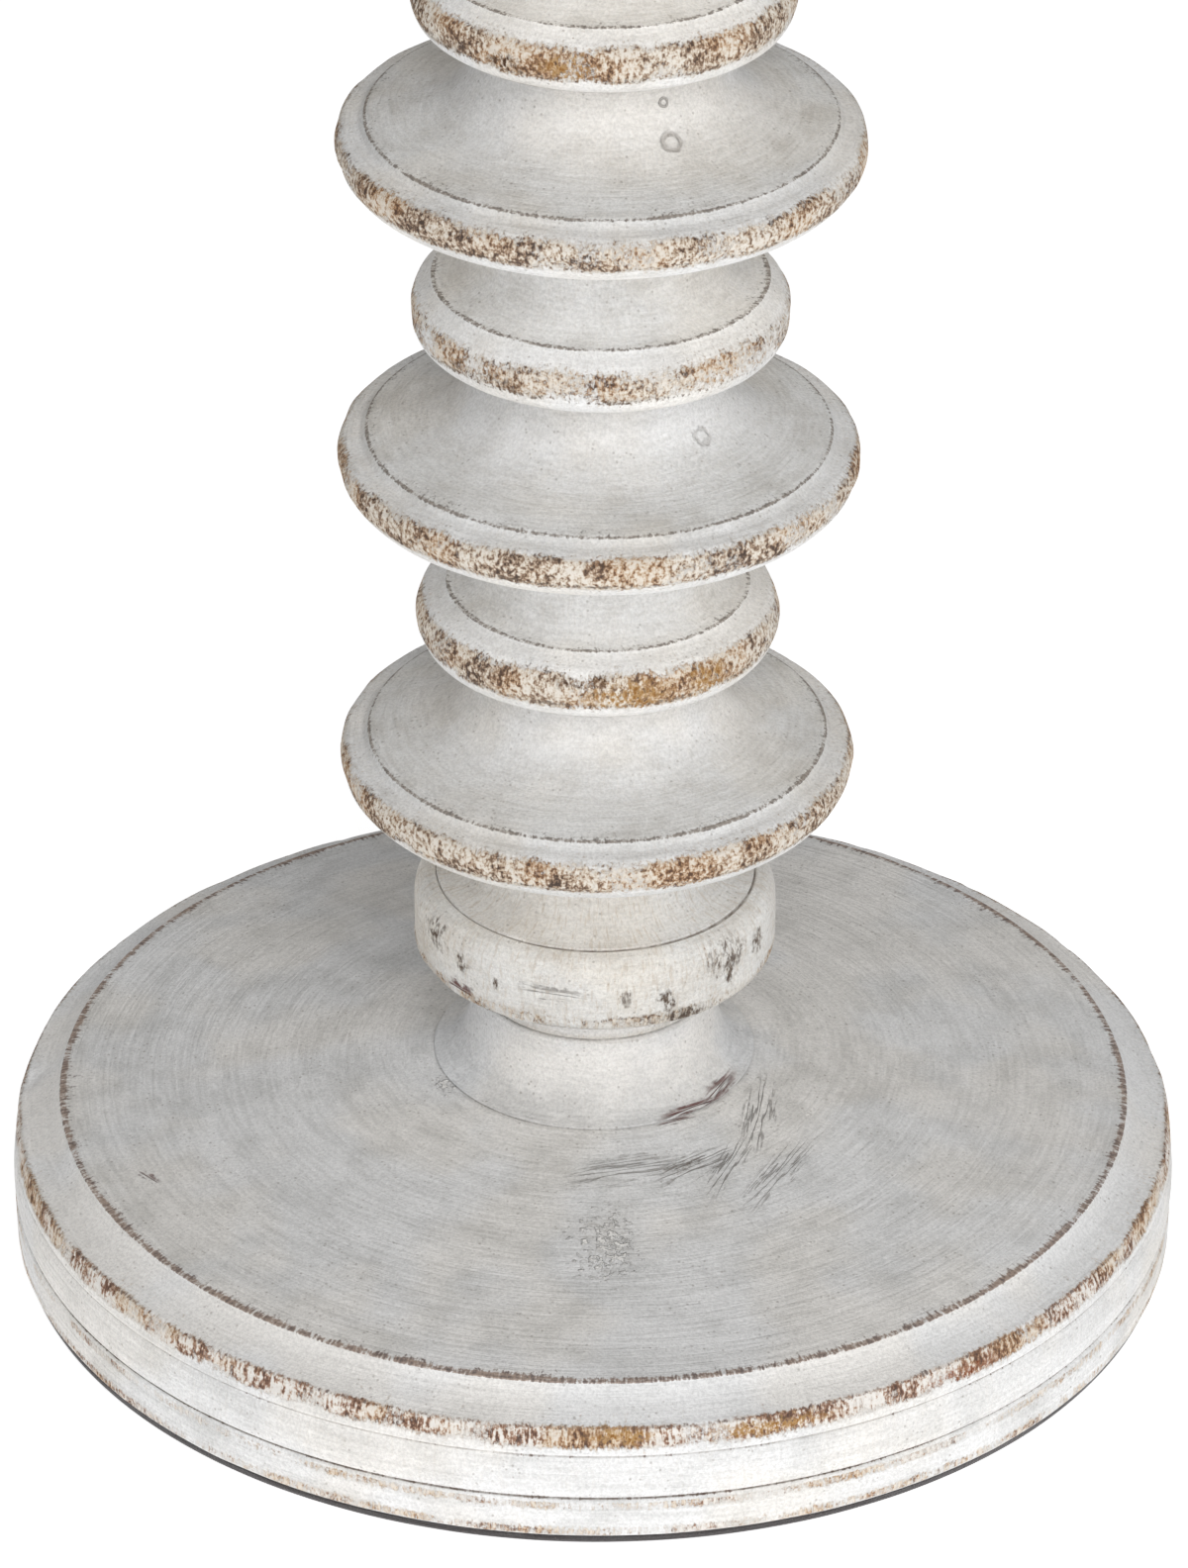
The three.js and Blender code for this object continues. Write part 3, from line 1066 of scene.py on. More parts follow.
@dataclass
class BasePlate(TurnedElement):
    """The moulded round base: square band, torus, upper band, cove and domed top."""

    radius: float = 89.3
    counterbore: float = 12.5
    counterbore_top: float = 13.0
    bottom: float = 1.2
    torus_foot: float = 8.0
    torus_top: float = 15.4
    flange: float = 20.4
    arris_radius: float = 81.9
    arris: float = 23.8
    crown: float = 30.4
    foot_radius: float = 24.5
    segments: int = 480

    def outline(self) -> Outline:
        """Draw the plate.

        Returns:
            Its outline, with heights above the table.
        """
        r, foot, top, flange = self.radius, self.torus_foot, self.torus_top, self.flange
        o = Outline(self.joinery.bore, self.counterbore_top)
        o.line(self.counterbore, self.counterbore_top).line(self.counterbore, self.bottom)
        o.line(r - 1.3, self.bottom, 12).show(True)
        o.bend((r - 0.2, self.bottom), (r - 0.15, self.bottom + 0.9)).mark(Layer.WORN, 0.55, 0.9, 1.6)
        o.line(r - 0.15, foot - 0.9, FINE).mark(Layer.WORN, 0.5, 1.6, 0.6)
        o.bend((r - 0.15, foot - 0.1), (r - 0.7, foot), 0.2)
        o.mark(Layer.CREASE, 0.85, 0.3, 0.3).mark(Layer.ARRIS, 0.75, 0.5, 0.6).set_coat_and_light(0.3)
        o.bend((r + 0.05, foot + 0.4), (r, foot + 3.5))
        o.bend((r, top - 0.8), (r - 0.6, top), 0.2).mark(Layer.CREASE, 0.4, 0.25, 0.25)
        o.mark(Layer.ARRIS, 0.5, 0.4, 0.4)
        o.bend((r - 0.25, top + 0.2), (r - 0.3, top + 0.9), 0.2).set_coat_and_light(1.0, 3.0)
        o.line(r - 0.35, flange - 3.4, FINE)
        shoulder = [(r - 0.55, flange - 2.5), (r - 0.75, flange - 1.3), (r - 1.2, flange - 0.25)]
        o.through([*shoulder, (r - 2.2, flange)])
        o.mark(Layer.WORN, 0.95, 2.9, 1.9, back=2.2).mark(Layer.WORN, 0.16, 6.0, 5.0, back=1.5)
        o.mark(Layer.ARRIS, 0.8, 0.5, 0.7, back=1.2)
        o.through([(r - 4.8, flange + 0.9), (r - 6.4, flange + 2.0), (r - 7.1, self.arris - 0.5)])
        o.line(self.arris_radius, self.arris, 0.15).mark(Layer.ARRIS, 0.9, 0.3, 1.5).set_coat_and_light(0.0, 0.4)
        o.mark(Layer.ARRIS, 0.3, 0.3, 4.0).line(self.arris_radius - 1.0, self.arris + 0.2, 0.2)
        o.line(self.foot_radius, self.crown, MEDIUM).mark(Layer.CREASE, 0.08, 0.4, 0.2)
        return self.joinery.close(o, self.crown, self.counterbore_top)


@dataclass
class StemFoot(TurnedElement):
    """The flare that stands on the middle of the plate."""

    radius: float = 24.5
    neck: float = 17.5
    height: float = 11.5
    segments: int = 256

    def outline(self) -> Outline:
        """Draw the flare.

        Returns:
            Its outline above the seat.
        """
        o = self.joinery.start(self.radius - 0.4).show(True)
        o.line(self.radius, 0.1).line(self.radius - 0.3, 0.2, 0.15)
        # painted light: the coat whitens the flare up towards its steep neck
        o.set_coat_and_light(0.25, 4.5).bend((self.neck + 4.9, 0.45), (self.neck + 3.5, 1.7))
        o.set_coat_and_light(1.0, 4.0).bend((self.neck + 1.4, 3.6), (self.neck + 0.7, self.height - 0.3))
        o.line(self.neck, self.height, 0.2).mark(Layer.CREASE, 0.4, 0.3, 0.3)
        return self.joinery.close(o, self.height, -self.joinery.spigot_depth)


@dataclass
class Collar(TurnedElement):
    """A worn drum with a soft shoulder; the lower one stands on a short neck of its own."""

    neck_below: float = 0.0
    radius: float = 27.4
    under: float = 27.0
    arris_radius: float = 24.0
    thickness: float = 12.6
    neck: float = 17.5
    height: float = 27.7
    segments: int = 320

    def outline(self) -> Outline:
        """Draw the collar.

        Returns:
            Its outline above the seat.
        """
        foot, r = self.neck_below, self.radius
        arris = foot + self.thickness
        top = foot + self.height
        o = self.joinery.start(self.neck if foot > 0 else self.under - 0.4)
        if foot > 0:
            o.show(True).set_coat_and_light(1.0).line(self.neck, foot, 1.0).line(self.under - 0.4, foot, 1.0)
        o.show(True).set_coat_and_light(0.3).mark(Layer.CREASE, 0.9, 0.4, 0.3)
        o.through([(self.under, foot + 0.4), (r - 0.1, foot + 1.2), (r, foot + 2.5)], 0.25)
        o.mark(Layer.WORN, 0.5, 1.6, 2.0, back=1.4)
        o.line(r, foot + 8.6, MEDIUM).mark(Layer.WORN, 0.12, 9.0, 5.0)
        o.through([(r - 0.4, foot + 10.2), (r - 1.4, arris - 1.0), (r - 2.8, arris - 0.3)])
        o.line(self.arris_radius + 0.1, arris - 0.5, 0.15).mark(Layer.CREASE, 0.8, 0.3, 0.25).set_coat_and_light(0.6)
        o.line(self.arris_radius, arris, 0.15)
        o.bend((self.neck, arris), (self.neck, (arris + top) / 2), 0.5)
        o.line(self.neck, top, 1.0)
        return self.joinery.close(o, top, -self.joinery.spigot_depth)


@dataclass
class StemDisc(TurnedElement):
    """A wide disc: undercut, worn rounded edge, small cove and a dished top up to the neck."""

    radius: float = 38.5
    under: float = 34.8
    arris_radius: float = 34.4
    thickness: float = 9.3
    neck: float = 17.5
    height: float = 24.3
    segments: int = 360

    def outline(self) -> Outline:
        """Draw the disc.

        Returns:
            Its outline above the seat.
        """
        r, top = self.radius, self.thickness
        o = self.joinery.start(self.under - 0.5).show(True).set_coat_and_light(0.6)
        o.mark(Layer.CREASE, 0.75, 0.4, 0.25)
        edge = [(self.under, 0.3), (r - 2.0, 1.3), (r - 0.6, 3.0), (r, 5.2), (r - 0.3, 7.0)]
        o.through([*edge, (r - 1.0, top - 1.5)])
        o.mark(Layer.WORN, 1.0, 3.1, 3.9, back=3.1).mark(Layer.WORN, 0.15, 5.0, 6.5, back=2.0)
        o.mark(Layer.ARRIS, 0.75, 0.3, 1.0, back=5.0)
        o.through([(r - 1.9, top - 1.25), (r - 3.3, top - 1.0), (r - 3.9, top - 0.4)], 0.25)
        o.line(self.arris_radius, top, 0.15).mark(Layer.ARRIS, 0.8, 0.22, 0.7).set_coat_and_light(0.0, 0.4)
        o.mark(Layer.ARRIS, 0.35, 0.3, 3.6).line(self.arris_radius - 0.5, top + 0.25, 0.2)
        # painted light: the coat whitens the dished top towards the neck
        o.line(30.0, top + 1.1, 0.6).set_coat_and_light(0.9, 14.0)
        o.bend((19.5, top + 2.2), (self.neck, top + 11.0), 0.6)
        o.line(self.neck, self.height, 1.0)
        return self.joinery.close(o, self.height, -self.joinery.spigot_depth)


@dataclass
class StemBead(TurnedElement):
    """A bead between two discs, with the same edge as they have on a thicker body."""

    radius: float = 27.8
    under: float = 25.0
    arris_radius: float = 24.7
    thickness: float = 10.1
    neck: float = 17.5
    height: float = 26.1
    segments: int = 288

    def outline(self) -> Outline:
        """Draw the bead.

        Returns:
            Its outline above the seat.
        """
        r, arris, top = self.radius, self.arris_radius, self.thickness
        o = self.joinery.start(self.under - 0.4).show(True).set_coat_and_light(0.8)
        o.mark(Layer.CREASE, 0.75, 0.4, 0.25)
        edge = [(self.under, 0.3), (r - 1.3, 1.2), (r - 0.4, 2.6), (r, 4.8), (r - 0.2, 6.8)]
        o.through([*edge, (r - 0.8, top - 2.1)])
        o.mark(Layer.WORN, 1.0, 3.3, 4.1, back=3.1).mark(Layer.WORN, 0.16, 5.0, 6.5, back=2.0)
        o.mark(Layer.ARRIS, 0.75, 0.3, 1.0, back=5.2)
        cove = [(r - 1.5, top - 1.5), ((r + arris) / 2 - 0.7, top - 1.0), (arris + 0.25, top - 0.4)]
        o.through(cove, 0.25)
        o.line(arris, top, 0.15).mark(Layer.ARRIS, 0.7, 0.25, 0.9).set_coat_and_light(0.4, 0.4)
        o.mark(Layer.ARRIS, 0.35, 0.3, 3.2)
        o.bend((self.neck, top), (self.neck, (top + self.height) / 2), 0.5)
        o.line(self.neck, self.height, 1.0)
        return self.joinery.close(o, self.height, -self.joinery.spigot_depth)


@dataclass
class CandleDish(TurnedElement):
    """The dish on top: a flared underside, a crowned rim and a recess for the steel pan."""

    radius: float = 55.0
    neck: float = 17.5
    floor: float = 22.0
    rim: float = 29.0
    rim_width: float = 9.0
    crown: float = 0.5
    edge: float = 13.0
    counterbore: float = 12.5
    counterbore_floor: float = 5.5
    segments: int = 400

    def outline(self) -> Outline:
        """Draw the dish.

        Returns:
            Its outline above the seat.
        """
        foot = self.rim - self.edge
        recess = self.radius - self.rim_width
        r = self.radius
        o = self.joinery.start(self.neck).show(True)
        o.mark(Layer.CREASE, 0.5, 0.4, 0.6)
        o.bend((self.neck, foot), (recess, foot), MEDIUM)
        o.bend((r - 1.0, foot + 0.2), (r, self.rim - 6.5))
        o.mark(Layer.WORN, 0.9, 3.5, 3.5)
        o.bend((r, self.rim - 0.6), (r - 4.0, self.rim + self.crown))
        o.mark(Layer.WORN, 0.8, 3.0, 3.0)
        o.bend((recess + 1.2, self.rim + self.crown), (recess, self.rim - 0.6))
        o.mark(Layer.WORN, 0.9, 1.4, 0.8)
        o.line(recess, self.floor, MEDIUM).mark(Layer.CREASE, 0.7, 1.0, 1.0)
        o.line(self.counterbore, self.floor, 1.5).show(False)
        o.line(self.counterbore, self.counterbore_floor).line(self.joinery.bore, self.counterbore_floor)
        return o.line(self.joinery.bore, -self.joinery.spigot_depth)


# ---------------------------------------------------------------------------------------------
# Felt and steel
# ---------------------------------------------------------------------------------------------


@dataclass
class FeltPad:
    """The bonded felt disc under the base."""

    radius: float = 88.5
    thickness: float = 1.0
    segments: int = 480

    def build(self) -> bpy.types.Object:
        """Cut and dress the pad.

        Returns:
            The dressed pad.
        """
        r, t = self.radius, self.thickness
        o = Outline(0, 0).line(r - 0.3, 0, 8).show(True)
        o.bend((r, 0), (r, t / 2), 0.2).bend((r, t), (r - 0.3, t), 0.2).mark(Layer.WORN, 1, 1, 1)
        o.show(False).line(0, t, 8)
        piece = turn("felt_disc", o, 0, self.segments, Hand(seed=90, wander=0.0, rub=0.1, chips=0.0))
        return dress(piece, "felt_pad", WoolFelt().material())


@dataclass
class TieRod:
    """The threaded rod through the stack, with a washer and a nut at each end."""

    radius: float = 4.0
    pitch: float = 1.25
    thread_depth: float = 0.55
    threaded: float = 32.0
    washer_radius: float = 11.0
    washer: float = 1.6
    thread_hole: float = 4.3
    nut_flats: float = 13.0
    nut: float = 6.5
    tip_chamfer: float = 0.7
    nut_chamfer: float = 0.9
    segments: int = 48
    round_segments: int = 96

    def rod(self, material: bpy.types.Material) -> bpy.types.Object:
        """Cut the rod, threaded at both ends.

        Args:
            material: the rod's finish.

        Returns:
            The dressed rod.
        """
        low, high = (corner.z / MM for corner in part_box("tie_rod"))
        length = high - low
        r, tip = self.radius, self.tip_chamfer
        o = Outline(0, 0).line(r - tip, 0).line(r, tip)
        o.line(r, self.threaded, self.pitch / 8)
        o.line(r, length - self.threaded, 12)
        o.line(r, length - tip, self.pitch / 8).line(r - tip, length).line(0, length)
        piece = turn("threaded_tie_rod", o, low, self.segments, Hand(90, 0, 0, 0))
        self.thread(piece, low, high)
        return dress(piece, "tie_rod", material)

    def thread(self, piece: bpy.types.Object, low: float, high: float) -> None:
        """Press a helical thread into both ends of the rod.

        Args:
            piece: the rod.
            low: height of its lower end.
            high: height of its upper end.
        """
        mesh = piece.data
        places = np.zeros(len(mesh.vertices) * 3, np.float32)
        mesh.vertices.foreach_get("co", places)
        places = places.reshape(-1, 3)
        height = places[:, 2] / MM
        share = (height / self.pitch - np.arctan2(places[:, 1], places[:, 0]) / (2 * math.pi)) % 1
        groove = np.clip(1.4 * (1 - 2 * np.abs(share - 0.5)) - 0.2, 0, 1)
        end = np.minimum(height - low, high - height)
        cut = groove * np.clip((self.threaded - end) / self.pitch, 0, 1) * np.clip(end / 0.4, 0, 1)
        radius = np.hypot(places[:, 0], places[:, 1]) / MM
        factor = 1 - np.where(radius > self.radius - 0.1, self.thread_depth * cut / self.radius, 0)
        places[:, :2] *= factor[:, None]
        mesh.vertices.foreach_set("co", places.ravel())
        mesh.update()

    def washer_at(self, node: str, material: bpy.types.Material) -> bpy.types.Object:
        """Stamp and dress one washer.

        Args:
            node: the washer's CAD node.
            material: its finish.

        Returns:
            The dressed washer.
        """
        r, t, hole = self.washer_radius, self.washer, self.thread_hole
        o = Outline(hole, 0.15).line(hole + 0.15, 0).line(r - 0.35, 0, 3)
        o.bend((r, 0), (r, 0.35), 0.1).line(r, t - 0.2).line(r - 0.2, t).line(hole + 0.4, t, 3)
        o.bend((hole, t), (hole, t - 0.4), 0.1).line(hole, 0.15)
        piece = turn("pressed_" + node, o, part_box(node)[0].z / MM, self.round_segments, Hand(91, 0, 0, 0))
        return dress(piece, node, material)

    def nut_at(self, node: str, material: bpy.types.Material) -> bpy.types.Object:
        """Forge and dress one hexagon nut, chamfered at both ends.

        Args:
            node: the nut's CAD node.
            material: its finish.

        Returns:
            The dressed nut.
        """
        corner = self.nut_flats / 2 / math.cos(math.pi / 6)
        chamfer, low = self.nut_chamfer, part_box(node)[0].z / MM
        hole, h = self.thread_hole, self.nut
        flat = self.nut_flats / 2
        o = Outline(hole, 0.7).line(hole + 0.7, 0).line(flat - 0.3, 0, 1)
        o.line(corner, chamfer, 0.12).line(corner, h - chamfer, 0.6).line(flat - 0.3, h, 0.12)
        o.line(hole + 0.7, h, 1).line(hole, h - 0.7).line(hole, 0.7, 0.2)
        piece = turn("hexagon_" + node, o, low, self.round_segments, Hand(92, 0, 0, 0))
        mesh = piece.data
        for vertex in mesh.vertices:
            across = Vector(vertex.co[:2])
            bearing = math.atan2(across.y, across.x) % (math.pi / 3) - math.pi / 6
            limit = flat * MM / math.cos(bearing)
            if across.length > limit:
                vertex.co[:2] = across * (limit / across.length)
        mesh.set_sharp_from_angle(angle=math.radians(25))
        return dress(piece, node, material)


@dataclass
class CandlePan:
    """The pressed pan in the dish, and the spike that clamps it."""

    outer: float = 45.0
    thickness: float = 1.0
    rim: float = 6.3
    cup: float = 9.0
    cup_depth: float = 6.0
    hole: float = 4.6
    collar: float = 7.5
    collar_height: float = 5.5
    spike: float = 3.2
    spike_height: float = 26.0
    tip: float = 0.4
    thread_hole: float = 4.3
    hole_depth: float = 4.8
    pan_segments: int = 256
    spike_segments: int = 96

    def pan(self, material: bpy.types.Material) -> bpy.types.Object:
        """Press and dress the pan.

        Args:
            material: its finish.

        Returns:
            The dressed pan.
        """
        r, t, cup, deep = self.outer, self.thickness, self.cup, self.cup_depth
        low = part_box("candle_pan")[0].z / MM + deep
        o = Outline(self.hole, -deep).line(cup + t - 1.2, -deep, 1.5).show(True)
        o.bend((cup + t, -deep), (cup + t, 1.2 - deep)).line(cup + t, 0, 1.5)
        o.line(r - 1.6, 0, 1.5).bend((r, 0), (r, 1.6)).line(r, self.rim - 0.4, MEDIUM)
        o.bend((r, self.rim), (r - 0.5, self.rim), 0.12)
        o.bend((r - t, self.rim), (r - t, self.rim - 0.4), 0.12)
        o.line(r - t, t + 1.0, MEDIUM).bend((r - t, t), (r - t - 1.0, t)).line(cup + 0.6, t, 1.2)
        o.bend((cup, t), (cup, t - 0.7)).line(cup, t + 0.6 - deep, MEDIUM)
        o.bend((cup, t - deep), (cup - 0.6, t - deep)).line(self.hole, t - deep, 1.5)
        o.line(self.hole, -deep)
        piece = turn("pressed_candle_pan", o, low, self.pan_segments, Hand(93, 0.06, 0.0, 0.0))
        return dress(piece, "candle_pan", material)

    def pricket(self, material: bpy.types.Material) -> bpy.types.Object:
        """Turn and dress the spike.

        Args:
            material: its finish.

        Returns:
            The dressed spike.
        """
        c, h = self.collar, self.collar_height
        hole, deep = self.thread_hole, self.hole_depth
        o = Outline(0, deep).line(hole, deep).line(hole, 0)
        o.line(c - 0.4, 0, 1).line(c, 0.4, 0.2).show(True).line(c, h - 0.6, MEDIUM)
        o.bend((c, h), (c - 0.7, h), 0.15).line(self.spike + 0.6, h, 0.6)
        o.bend((self.spike, h), (self.spike - 0.05, h + 0.7), 0.15)
        o.line(self.tip, h + self.spike_height - 0.3, MEDIUM)
        o.bend((self.tip - 0.1, h + self.spike_height), (0, h + self.spike_height), 0.15)
        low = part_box("candle_spike")[0].z / MM
        piece = turn("candle_pricket", o, low, self.spike_segments, Hand(94, 0.03, 0, 0))
        return dress(piece, "candle_spike", material)


# ---------------------------------------------------------------------------------------------
# Studio
# ---------------------------------------------------------------------------------------------


@dataclass
class Studio:
    """A pale floor, soft light and the camera. Places are in metres."""

    camera_place: tuple[float, float, float] = (0.0, -1.0889, 0.7161)
    camera_down: float = 30.422
    camera_roll: float = 0.49
    camera_yaw: float = 0.018
    lens: float = 192.4
    sensor: float = 36.0
    floor_half: float = 6.0
    floor_drop: float = 0.0001
    floor_white: float = 0.9
    pool: tuple[float, float] = (0.45, 0.95)
    pool_behind: float = 0.15
    sky: float = 0.31
    floor_glow: float = 0.68
    far_glow: float = 0.25
    key_place: tuple[float, float, float] = (0.45, -1.8, 1.3)
    key_size: float = 1.2
    key_power: float = 25.0
    aim_height: float = 0.12

    def camera(self) -> None:
        """Set the camera up and make it the scene's own."""
        data = bpy.data.cameras.new("studio_camera")
        data.lens, data.sensor_width, data.sensor_fit = self.lens, self.sensor, "AUTO"
        data.clip_start, data.clip_end = 0.05, 50
        camera = bpy.data.objects.new("studio_camera", data)
        turn_to = Matrix.Rotation(math.radians(self.camera_yaw), 4, "Z")
        tip = Matrix.Rotation(math.radians(90 - self.camera_down), 4, "X")
        roll = Matrix.Rotation(math.radians(self.camera_roll), 4, "Z")
        camera.matrix_world = Matrix.Translation(self.camera_place) @ turn_to @ tip @ roll
        bpy.context.scene.collection.objects.link(camera)
        bpy.context.scene.camera = camera

    def floor(self) -> None:
        """Lay the pale floor."""
        half = self.floor_half
        mesh = bpy.data.meshes.new("studio_floor")
        corners = [(-half, -half, 0), (half, -half, 0), (half, half, 0), (-half, half, 0)]
        mesh.from_pydata(corners, [], [(0, 1, 2, 3)])
        floor = bpy.data.objects.new("studio_floor", mesh)
        floor.location.z = -self.floor_drop
        bpy.context.scene.collection.objects.link(floor)
        s = Shading("pale_floor")
        s.set("Base Color", (self.floor_white,) * 3)
        s.set("Roughness", 0.9)
        s.set("Emission Color", (1.0, 1.0, 1.0))
        here = s.vector("SUBTRACT", s.node("TexCoord", {}, out=3), (0.0, self.pool_behind, 0.0))
        away = s.node("VectorMath", {0: here}, out=1, operation="LENGTH")
        s.set("Emission Strength", s.ease(away, *self.pool, self.floor_glow, self.far_glow))
        mesh.materials.append(s.material)

    def light(self, name: str, place: tuple[float, float, float], size: float, power: float) -> None:
        """Hang one soft light, aimed at the stem.

        Args:
            name: the light's name.
            place: where it hangs.
            size: length of its sides.
            power: its power, in watts.
        """
        data = bpy.data.lights.new(name, "AREA")
        data.shape, data.size, data.energy = "SQUARE", size, power
        lamp = bpy.data.objects.new(name, data)
        lamp.location = place
        aim = Vector((0, 0, self.aim_height)) - Vector(place)
        lamp.rotation_euler = aim.to_track_quat("-Z", "Y").to_euler()
        bpy.context.scene.collection.objects.link(lamp)

    def sky_light(self) -> None:
        """Surround the scene with an even white."""
        world = bpy.data.worlds.new("studio_sky")
        world.use_nodes = True
        world.node_tree.nodes["Background"].inputs[0].default_value = (1, 1, 1, 1)
        world.node_tree.nodes["Background"].inputs[1].default_value = self.sky
        bpy.context.scene.world = world

    def build(self) -> None:
        """Build the whole studio."""
        self.camera()
        self.floor()
        self.sky_light()
        self.light("front_key", self.key_place, self.key_size, self.key_power)
        bpy.context.scene.view_settings.view_transform = "Standard"


PLATE_BLEMISHES = (
    Blemish(Flaw.GASH, 30.0, 24.9, 30.4, 4.0, 0.8, tilt=-5.0, amount=0.9, grit=0.3),
    Blemish(Flaw.SCRAPE, 8.0, 34.0, 29.4, 12.0, 4.0, tilt=8.0, amount=0.8, grit=0.3),
    Blemish(Flaw.SCRAPE, 25.0, 35.5, 29.2, 9.0, 3.4, tilt=14.0, grit=0.3),
    Blemish(Flaw.PATCH, 24.0, 35.0, 29.3, 3.4, 1.3, tilt=14.0, amount=0.5),
    Blemish(Flaw.SCRAPE, 33.0, 37.5, 29.0, 11.0, 2.6, tilt=38.0, amount=0.9, grit=0.3),
    Blemish(Flaw.SCRAPE, 40.0, 43.0, 28.3, 13.0, 3.4, tilt=24.0, amount=0.7, grit=0.3),
    Blemish(Flaw.SCRAPE, 54.0, 31.0, 29.6, 13.0, 3.2, tilt=30.0, amount=0.9, grit=0.3),
    Blemish(Flaw.BLISTER, 2.0, 51.0, 27.0, 4.6, 10.5, grit=0.9),
    Blemish(Flaw.BLISTER, -62.0, 25.8, 30.2, 3.0, 2.0, amount=0.95),
    Blemish(Flaw.GASH, -66.0, 73.3, 24.8, 3.0, 0.9, tilt=20.0, amount=0.8),
    Blemish(Flaw.OCHRE, 3.0, 88.5, 18.8, 7.0, up=1.8),
    Blemish(Flaw.OCHRE, 17.0, 88.6, 18.4, 13.0, up=1.6),
    Blemish(Flaw.RED, 38.0, 88.8, 17.8, 9.0, up=1.8),
)
FOOT_BLEMISHES = (
    Blemish(Flaw.GASH, 38.0, 23.8, 30.9, 7.5, 1.3, tilt=-2.0, grit=0.3),
    Blemish(Flaw.GASH, 56.0, 23.2, 31.3, 6.5, 1.9, tilt=10.0, amount=0.9, grit=0.3),
)
COLLAR_BLEMISHES = (
    Blemish(Flaw.PATCH, -61.0, 27.3, 58.3, 3.4, up=3.3, grit=0.5),
    Blemish(Flaw.PATCH, -47.0, 27.4, 56.6, 1.5, up=2.1),
    Blemish(Flaw.PATCH, -33.0, 27.4, 55.2, 0.9, up=1.6, grit=0.3),
    Blemish(Flaw.GASH, -48.0, 27.3, 51.6, 3.6, up=1.5),
    Blemish(Flaw.SCRAPE, -14.0, 27.4, 56.0, 6.0, up=1.6, amount=0.8),
    Blemish(Flaw.PATCH, 10.0, 27.4, 55.4, 1.1, up=1.8, amount=0.8),
    Blemish(Flaw.PATCH, 23.0, 27.4, 53.6, 2.4, up=2.2),
    Blemish(Flaw.PATCH, 30.0, 27.3, 50.6, 5.6, up=1.6),
    Blemish(Flaw.PATCH, 47.0, 27.3, 58.2, 5.4, up=3.8, amount=0.85, grit=0.4),
    Blemish(Flaw.PATCH, 48.0, 27.4, 55.4, 1.1, up=3.6),
    Blemish(Flaw.PATCH, 63.0, 27.3, 57.0, 2.2, up=2.8),
    Blemish(Flaw.PATCH, -27.0, 22.8, 63.2, 0.6, 0.6, 0.6, grit=0.2),
)
STEM_BLEMISHES = {
    "stem_disc_2": (Blemish(Flaw.RING, 48.0, 20.1, 143.3, 1.8, 1.8, 1.8, amount=0.7, grit=0.2),),
    "stem_disc_3": (
        Blemish(Flaw.RING, 28.0, 20.9, 193.1, 1.9, 1.9, 1.9, grit=0.1),
        Blemish(Flaw.RING, 29.0, 18.1, 198.1, 0.9, 0.9, 0.9, grit=0.1),
    ),
    "stem_bead_1": (
        Blemish(Flaw.OCHRE, 10.0, 27.0, 107.0, 9.0, up=3.2),
        Blemish(Flaw.OCHRE, 38.0, 27.0, 107.5, 4.5, up=3.4),
        Blemish(Flaw.UMBER, -4.0, 27.0, 109.5, 6.0, up=1.6),
    ),
    "stem_bead_2": (Blemish(Flaw.UMBER, -38.0, 27.5, 156.5, 9.0, up=2.6),),
    "stem_bead_3": (
        Blemish(Flaw.OCHRE, -11.0, 27.7, 208.5, 5.0, up=2.8),
        Blemish(Flaw.UMBER, -30.0, 27.7, 208.0, 4.0, up=2.0),
    ),
}


PLATE_PAINT = ChalkPaint(
    "plate_paint",
    light=paint(245, 244, 243),
    shade=paint(218, 217, 215),
    line=(paint(160, 132, 112), paint(78, 48, 36)),
    girth=86.0,
    combed=0.55,
    wood=RUSSET_WOOD,
    wear=0.92,
    blemishes=PLATE_BLEMISHES,
)
FOOT_PAINT = ChalkPaint(
    "foot_paint",
    light=paint(238, 238, 238),
    shade=paint(212, 212, 212),
    combed=0.05,
    blemishes=FOOT_BLEMISHES,
)
COLLAR_PAINT = ChalkPaint(
    "collar_paint",
    light=paint(238, 236, 231),
    shade=paint(219, 213, 204),
    girth=27.0,
    combed=0.5,
    streaked=0.45,
)
STEM_PAINT = ChalkPaint("stem_paint")
ZINC = PlainSteel(
    "zinc_plate",
    light=paint(208, 210, 214),
    dark=paint(168, 172, 178),
    roughness=0.28,
    tarnish=paint(150, 146, 138),
    tarnish_share=0.5,
)
AGED_STEEL = PlainSteel(
    "aged_steel",
    light=paint(122, 114, 106),
    dark=paint(84, 78, 73),
    roughness=0.38,
    tarnish=paint(92, 62, 42),
    tarnish_share=0.7,
)
RIM_NICK = Dent(angle=-93.0, radius=86.6, height=20.8, width=2.2, tall=1.3, depth=0.6)
COLLAR_RUB = 0.25
DISCS = 5
PALE_BEAD, PALE_BEAD_WEAR = "stem_bead_2", 0.55


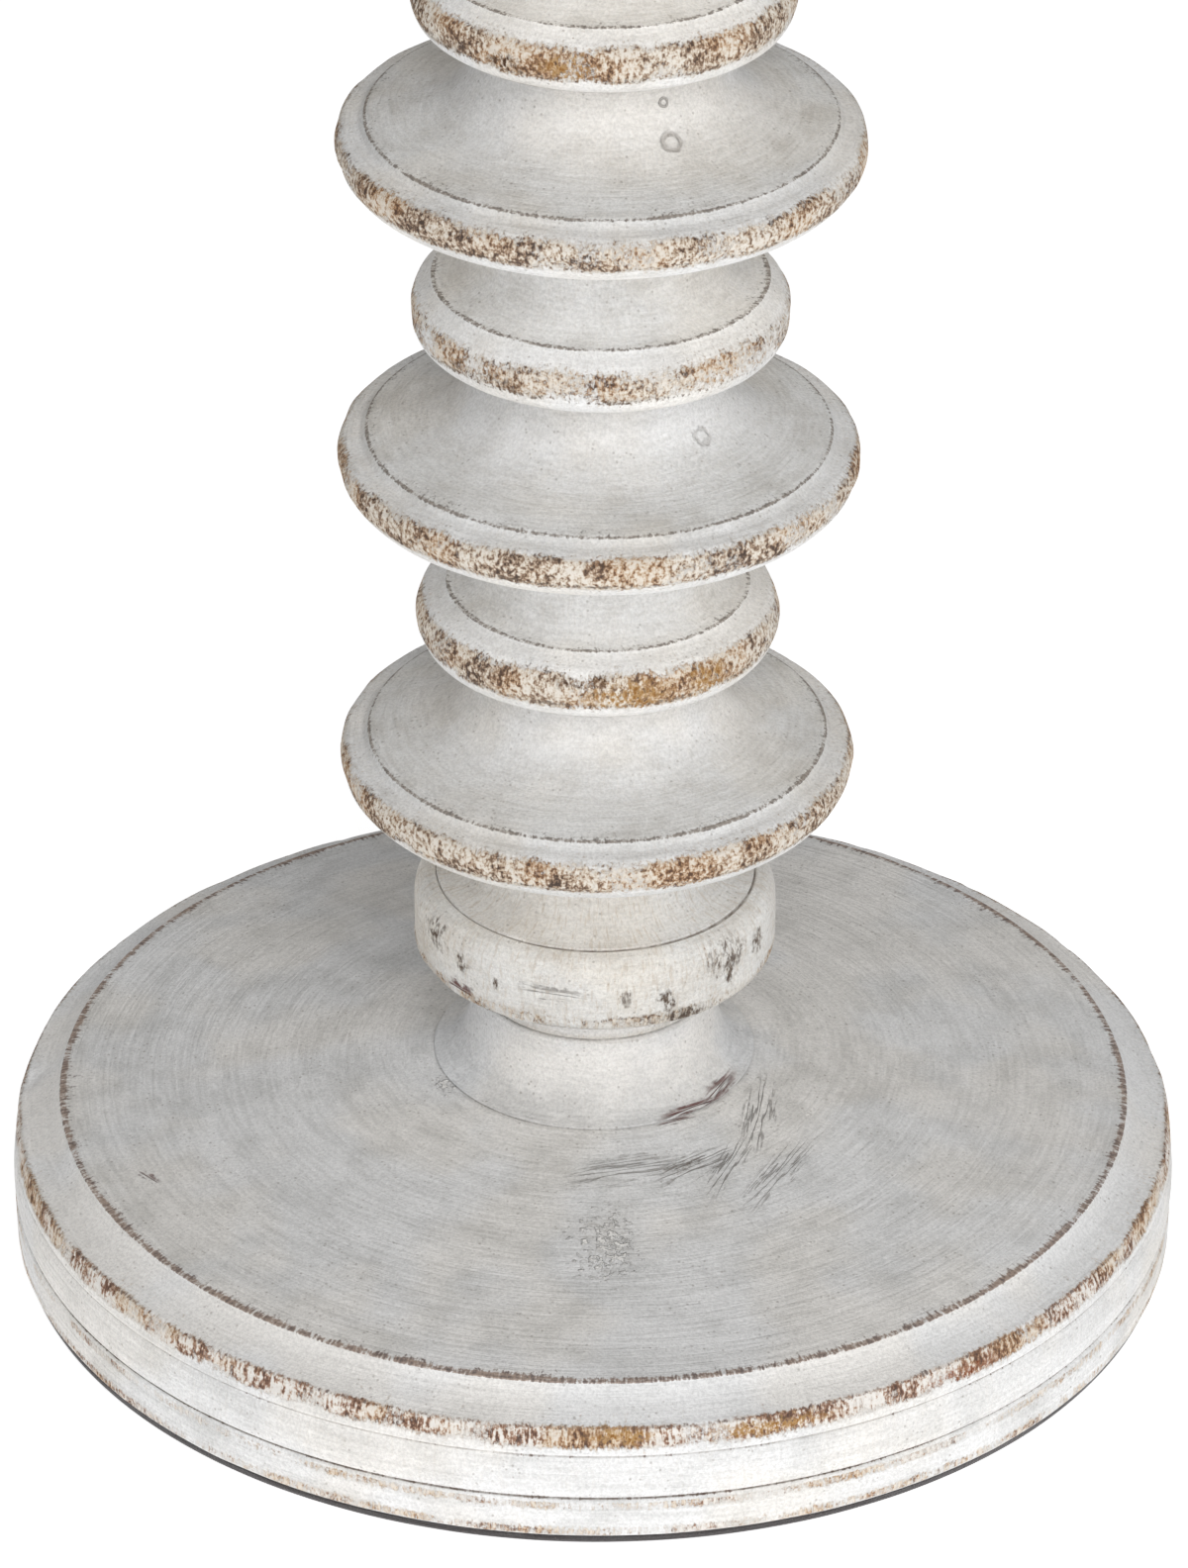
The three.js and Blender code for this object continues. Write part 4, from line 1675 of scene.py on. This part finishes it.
def build_foot(joinery: Joinery) -> None:
    """Build the felt, the plate, the flare and the lower collar.

    Args:
        joinery: the sizes of the joints.
    """
    FeltPad().build()
    BasePlate(joinery).build("base_plate", PLATE_PAINT, Hand(seed=11, dents=(RIM_NICK,)))
    StemFoot(joinery).build("stem_foot", FOOT_PAINT, Hand(seed=21))
    worn_paint = replace(COLLAR_PAINT, name="lower_collar_paint", blemishes=COLLAR_BLEMISHES)
    hand = Hand(seed=31, rub=COLLAR_RUB)
    Collar(joinery, neck_below=7.4).build("lower_collar", worn_paint, hand)


def build_stem(joinery: Joinery) -> None:
    """Build the discs with the beads between them; the lowest bead is the smaller one.

    Args:
        joinery: the sizes of the joints.
    """
    for level in range(1, DISCS + 1):
        disc, bead = f"stem_disc_{level}", f"stem_bead_{level}"
        disc_paint = replace(STEM_PAINT, name=disc + "_paint", blemishes=STEM_BLEMISHES.get(disc, ()))
        StemDisc(joinery).build(disc, disc_paint, Hand(seed=40 + level))
        if level == DISCS:
            break
        element = StemBead(joinery)
        if level == 1:
            element = replace(element, radius=26.9, under=24.3, arris_radius=22.6, thickness=10.3)
        bead_paint = replace(
            STEM_PAINT,
            name=bead + "_paint",
            wear=PALE_BEAD_WEAR if bead == PALE_BEAD else STEM_PAINT.wear,
            blemishes=STEM_BLEMISHES.get(bead, ()),
        )
        element.build(bead, bead_paint, Hand(seed=60 + level))


def build_hardware() -> None:
    """Build the rod with its washers and nuts, then the pan and the spike."""
    rod, zinc = TieRod(), ZINC.material()
    rod.rod(zinc)
    for end in ("base", "top"):
        rod.washer_at(end + "_washer", zinc)
        rod.nut_at(end + "_nut", zinc)
    pan, aged = CandlePan(), AGED_STEEL.material()
    pan.pan(aged)
    pan.pricket(aged)


def main() -> None:
    """Build the studio, then every piece in order, from the felt up."""
    logging.basicConfig(level=logging.INFO, format="%(name)s %(message)s")
    joinery = Joinery()
    Studio().build()
    build_foot(joinery)
    build_stem(joinery)
    Collar(joinery).build("upper_collar", COLLAR_PAINT, Hand(seed=81, rub=COLLAR_RUB))
    CandleDish(joinery).build("candle_dish", STEM_PAINT, Hand(seed=86))
    build_hardware()


if __name__ == "__main__":
    main()
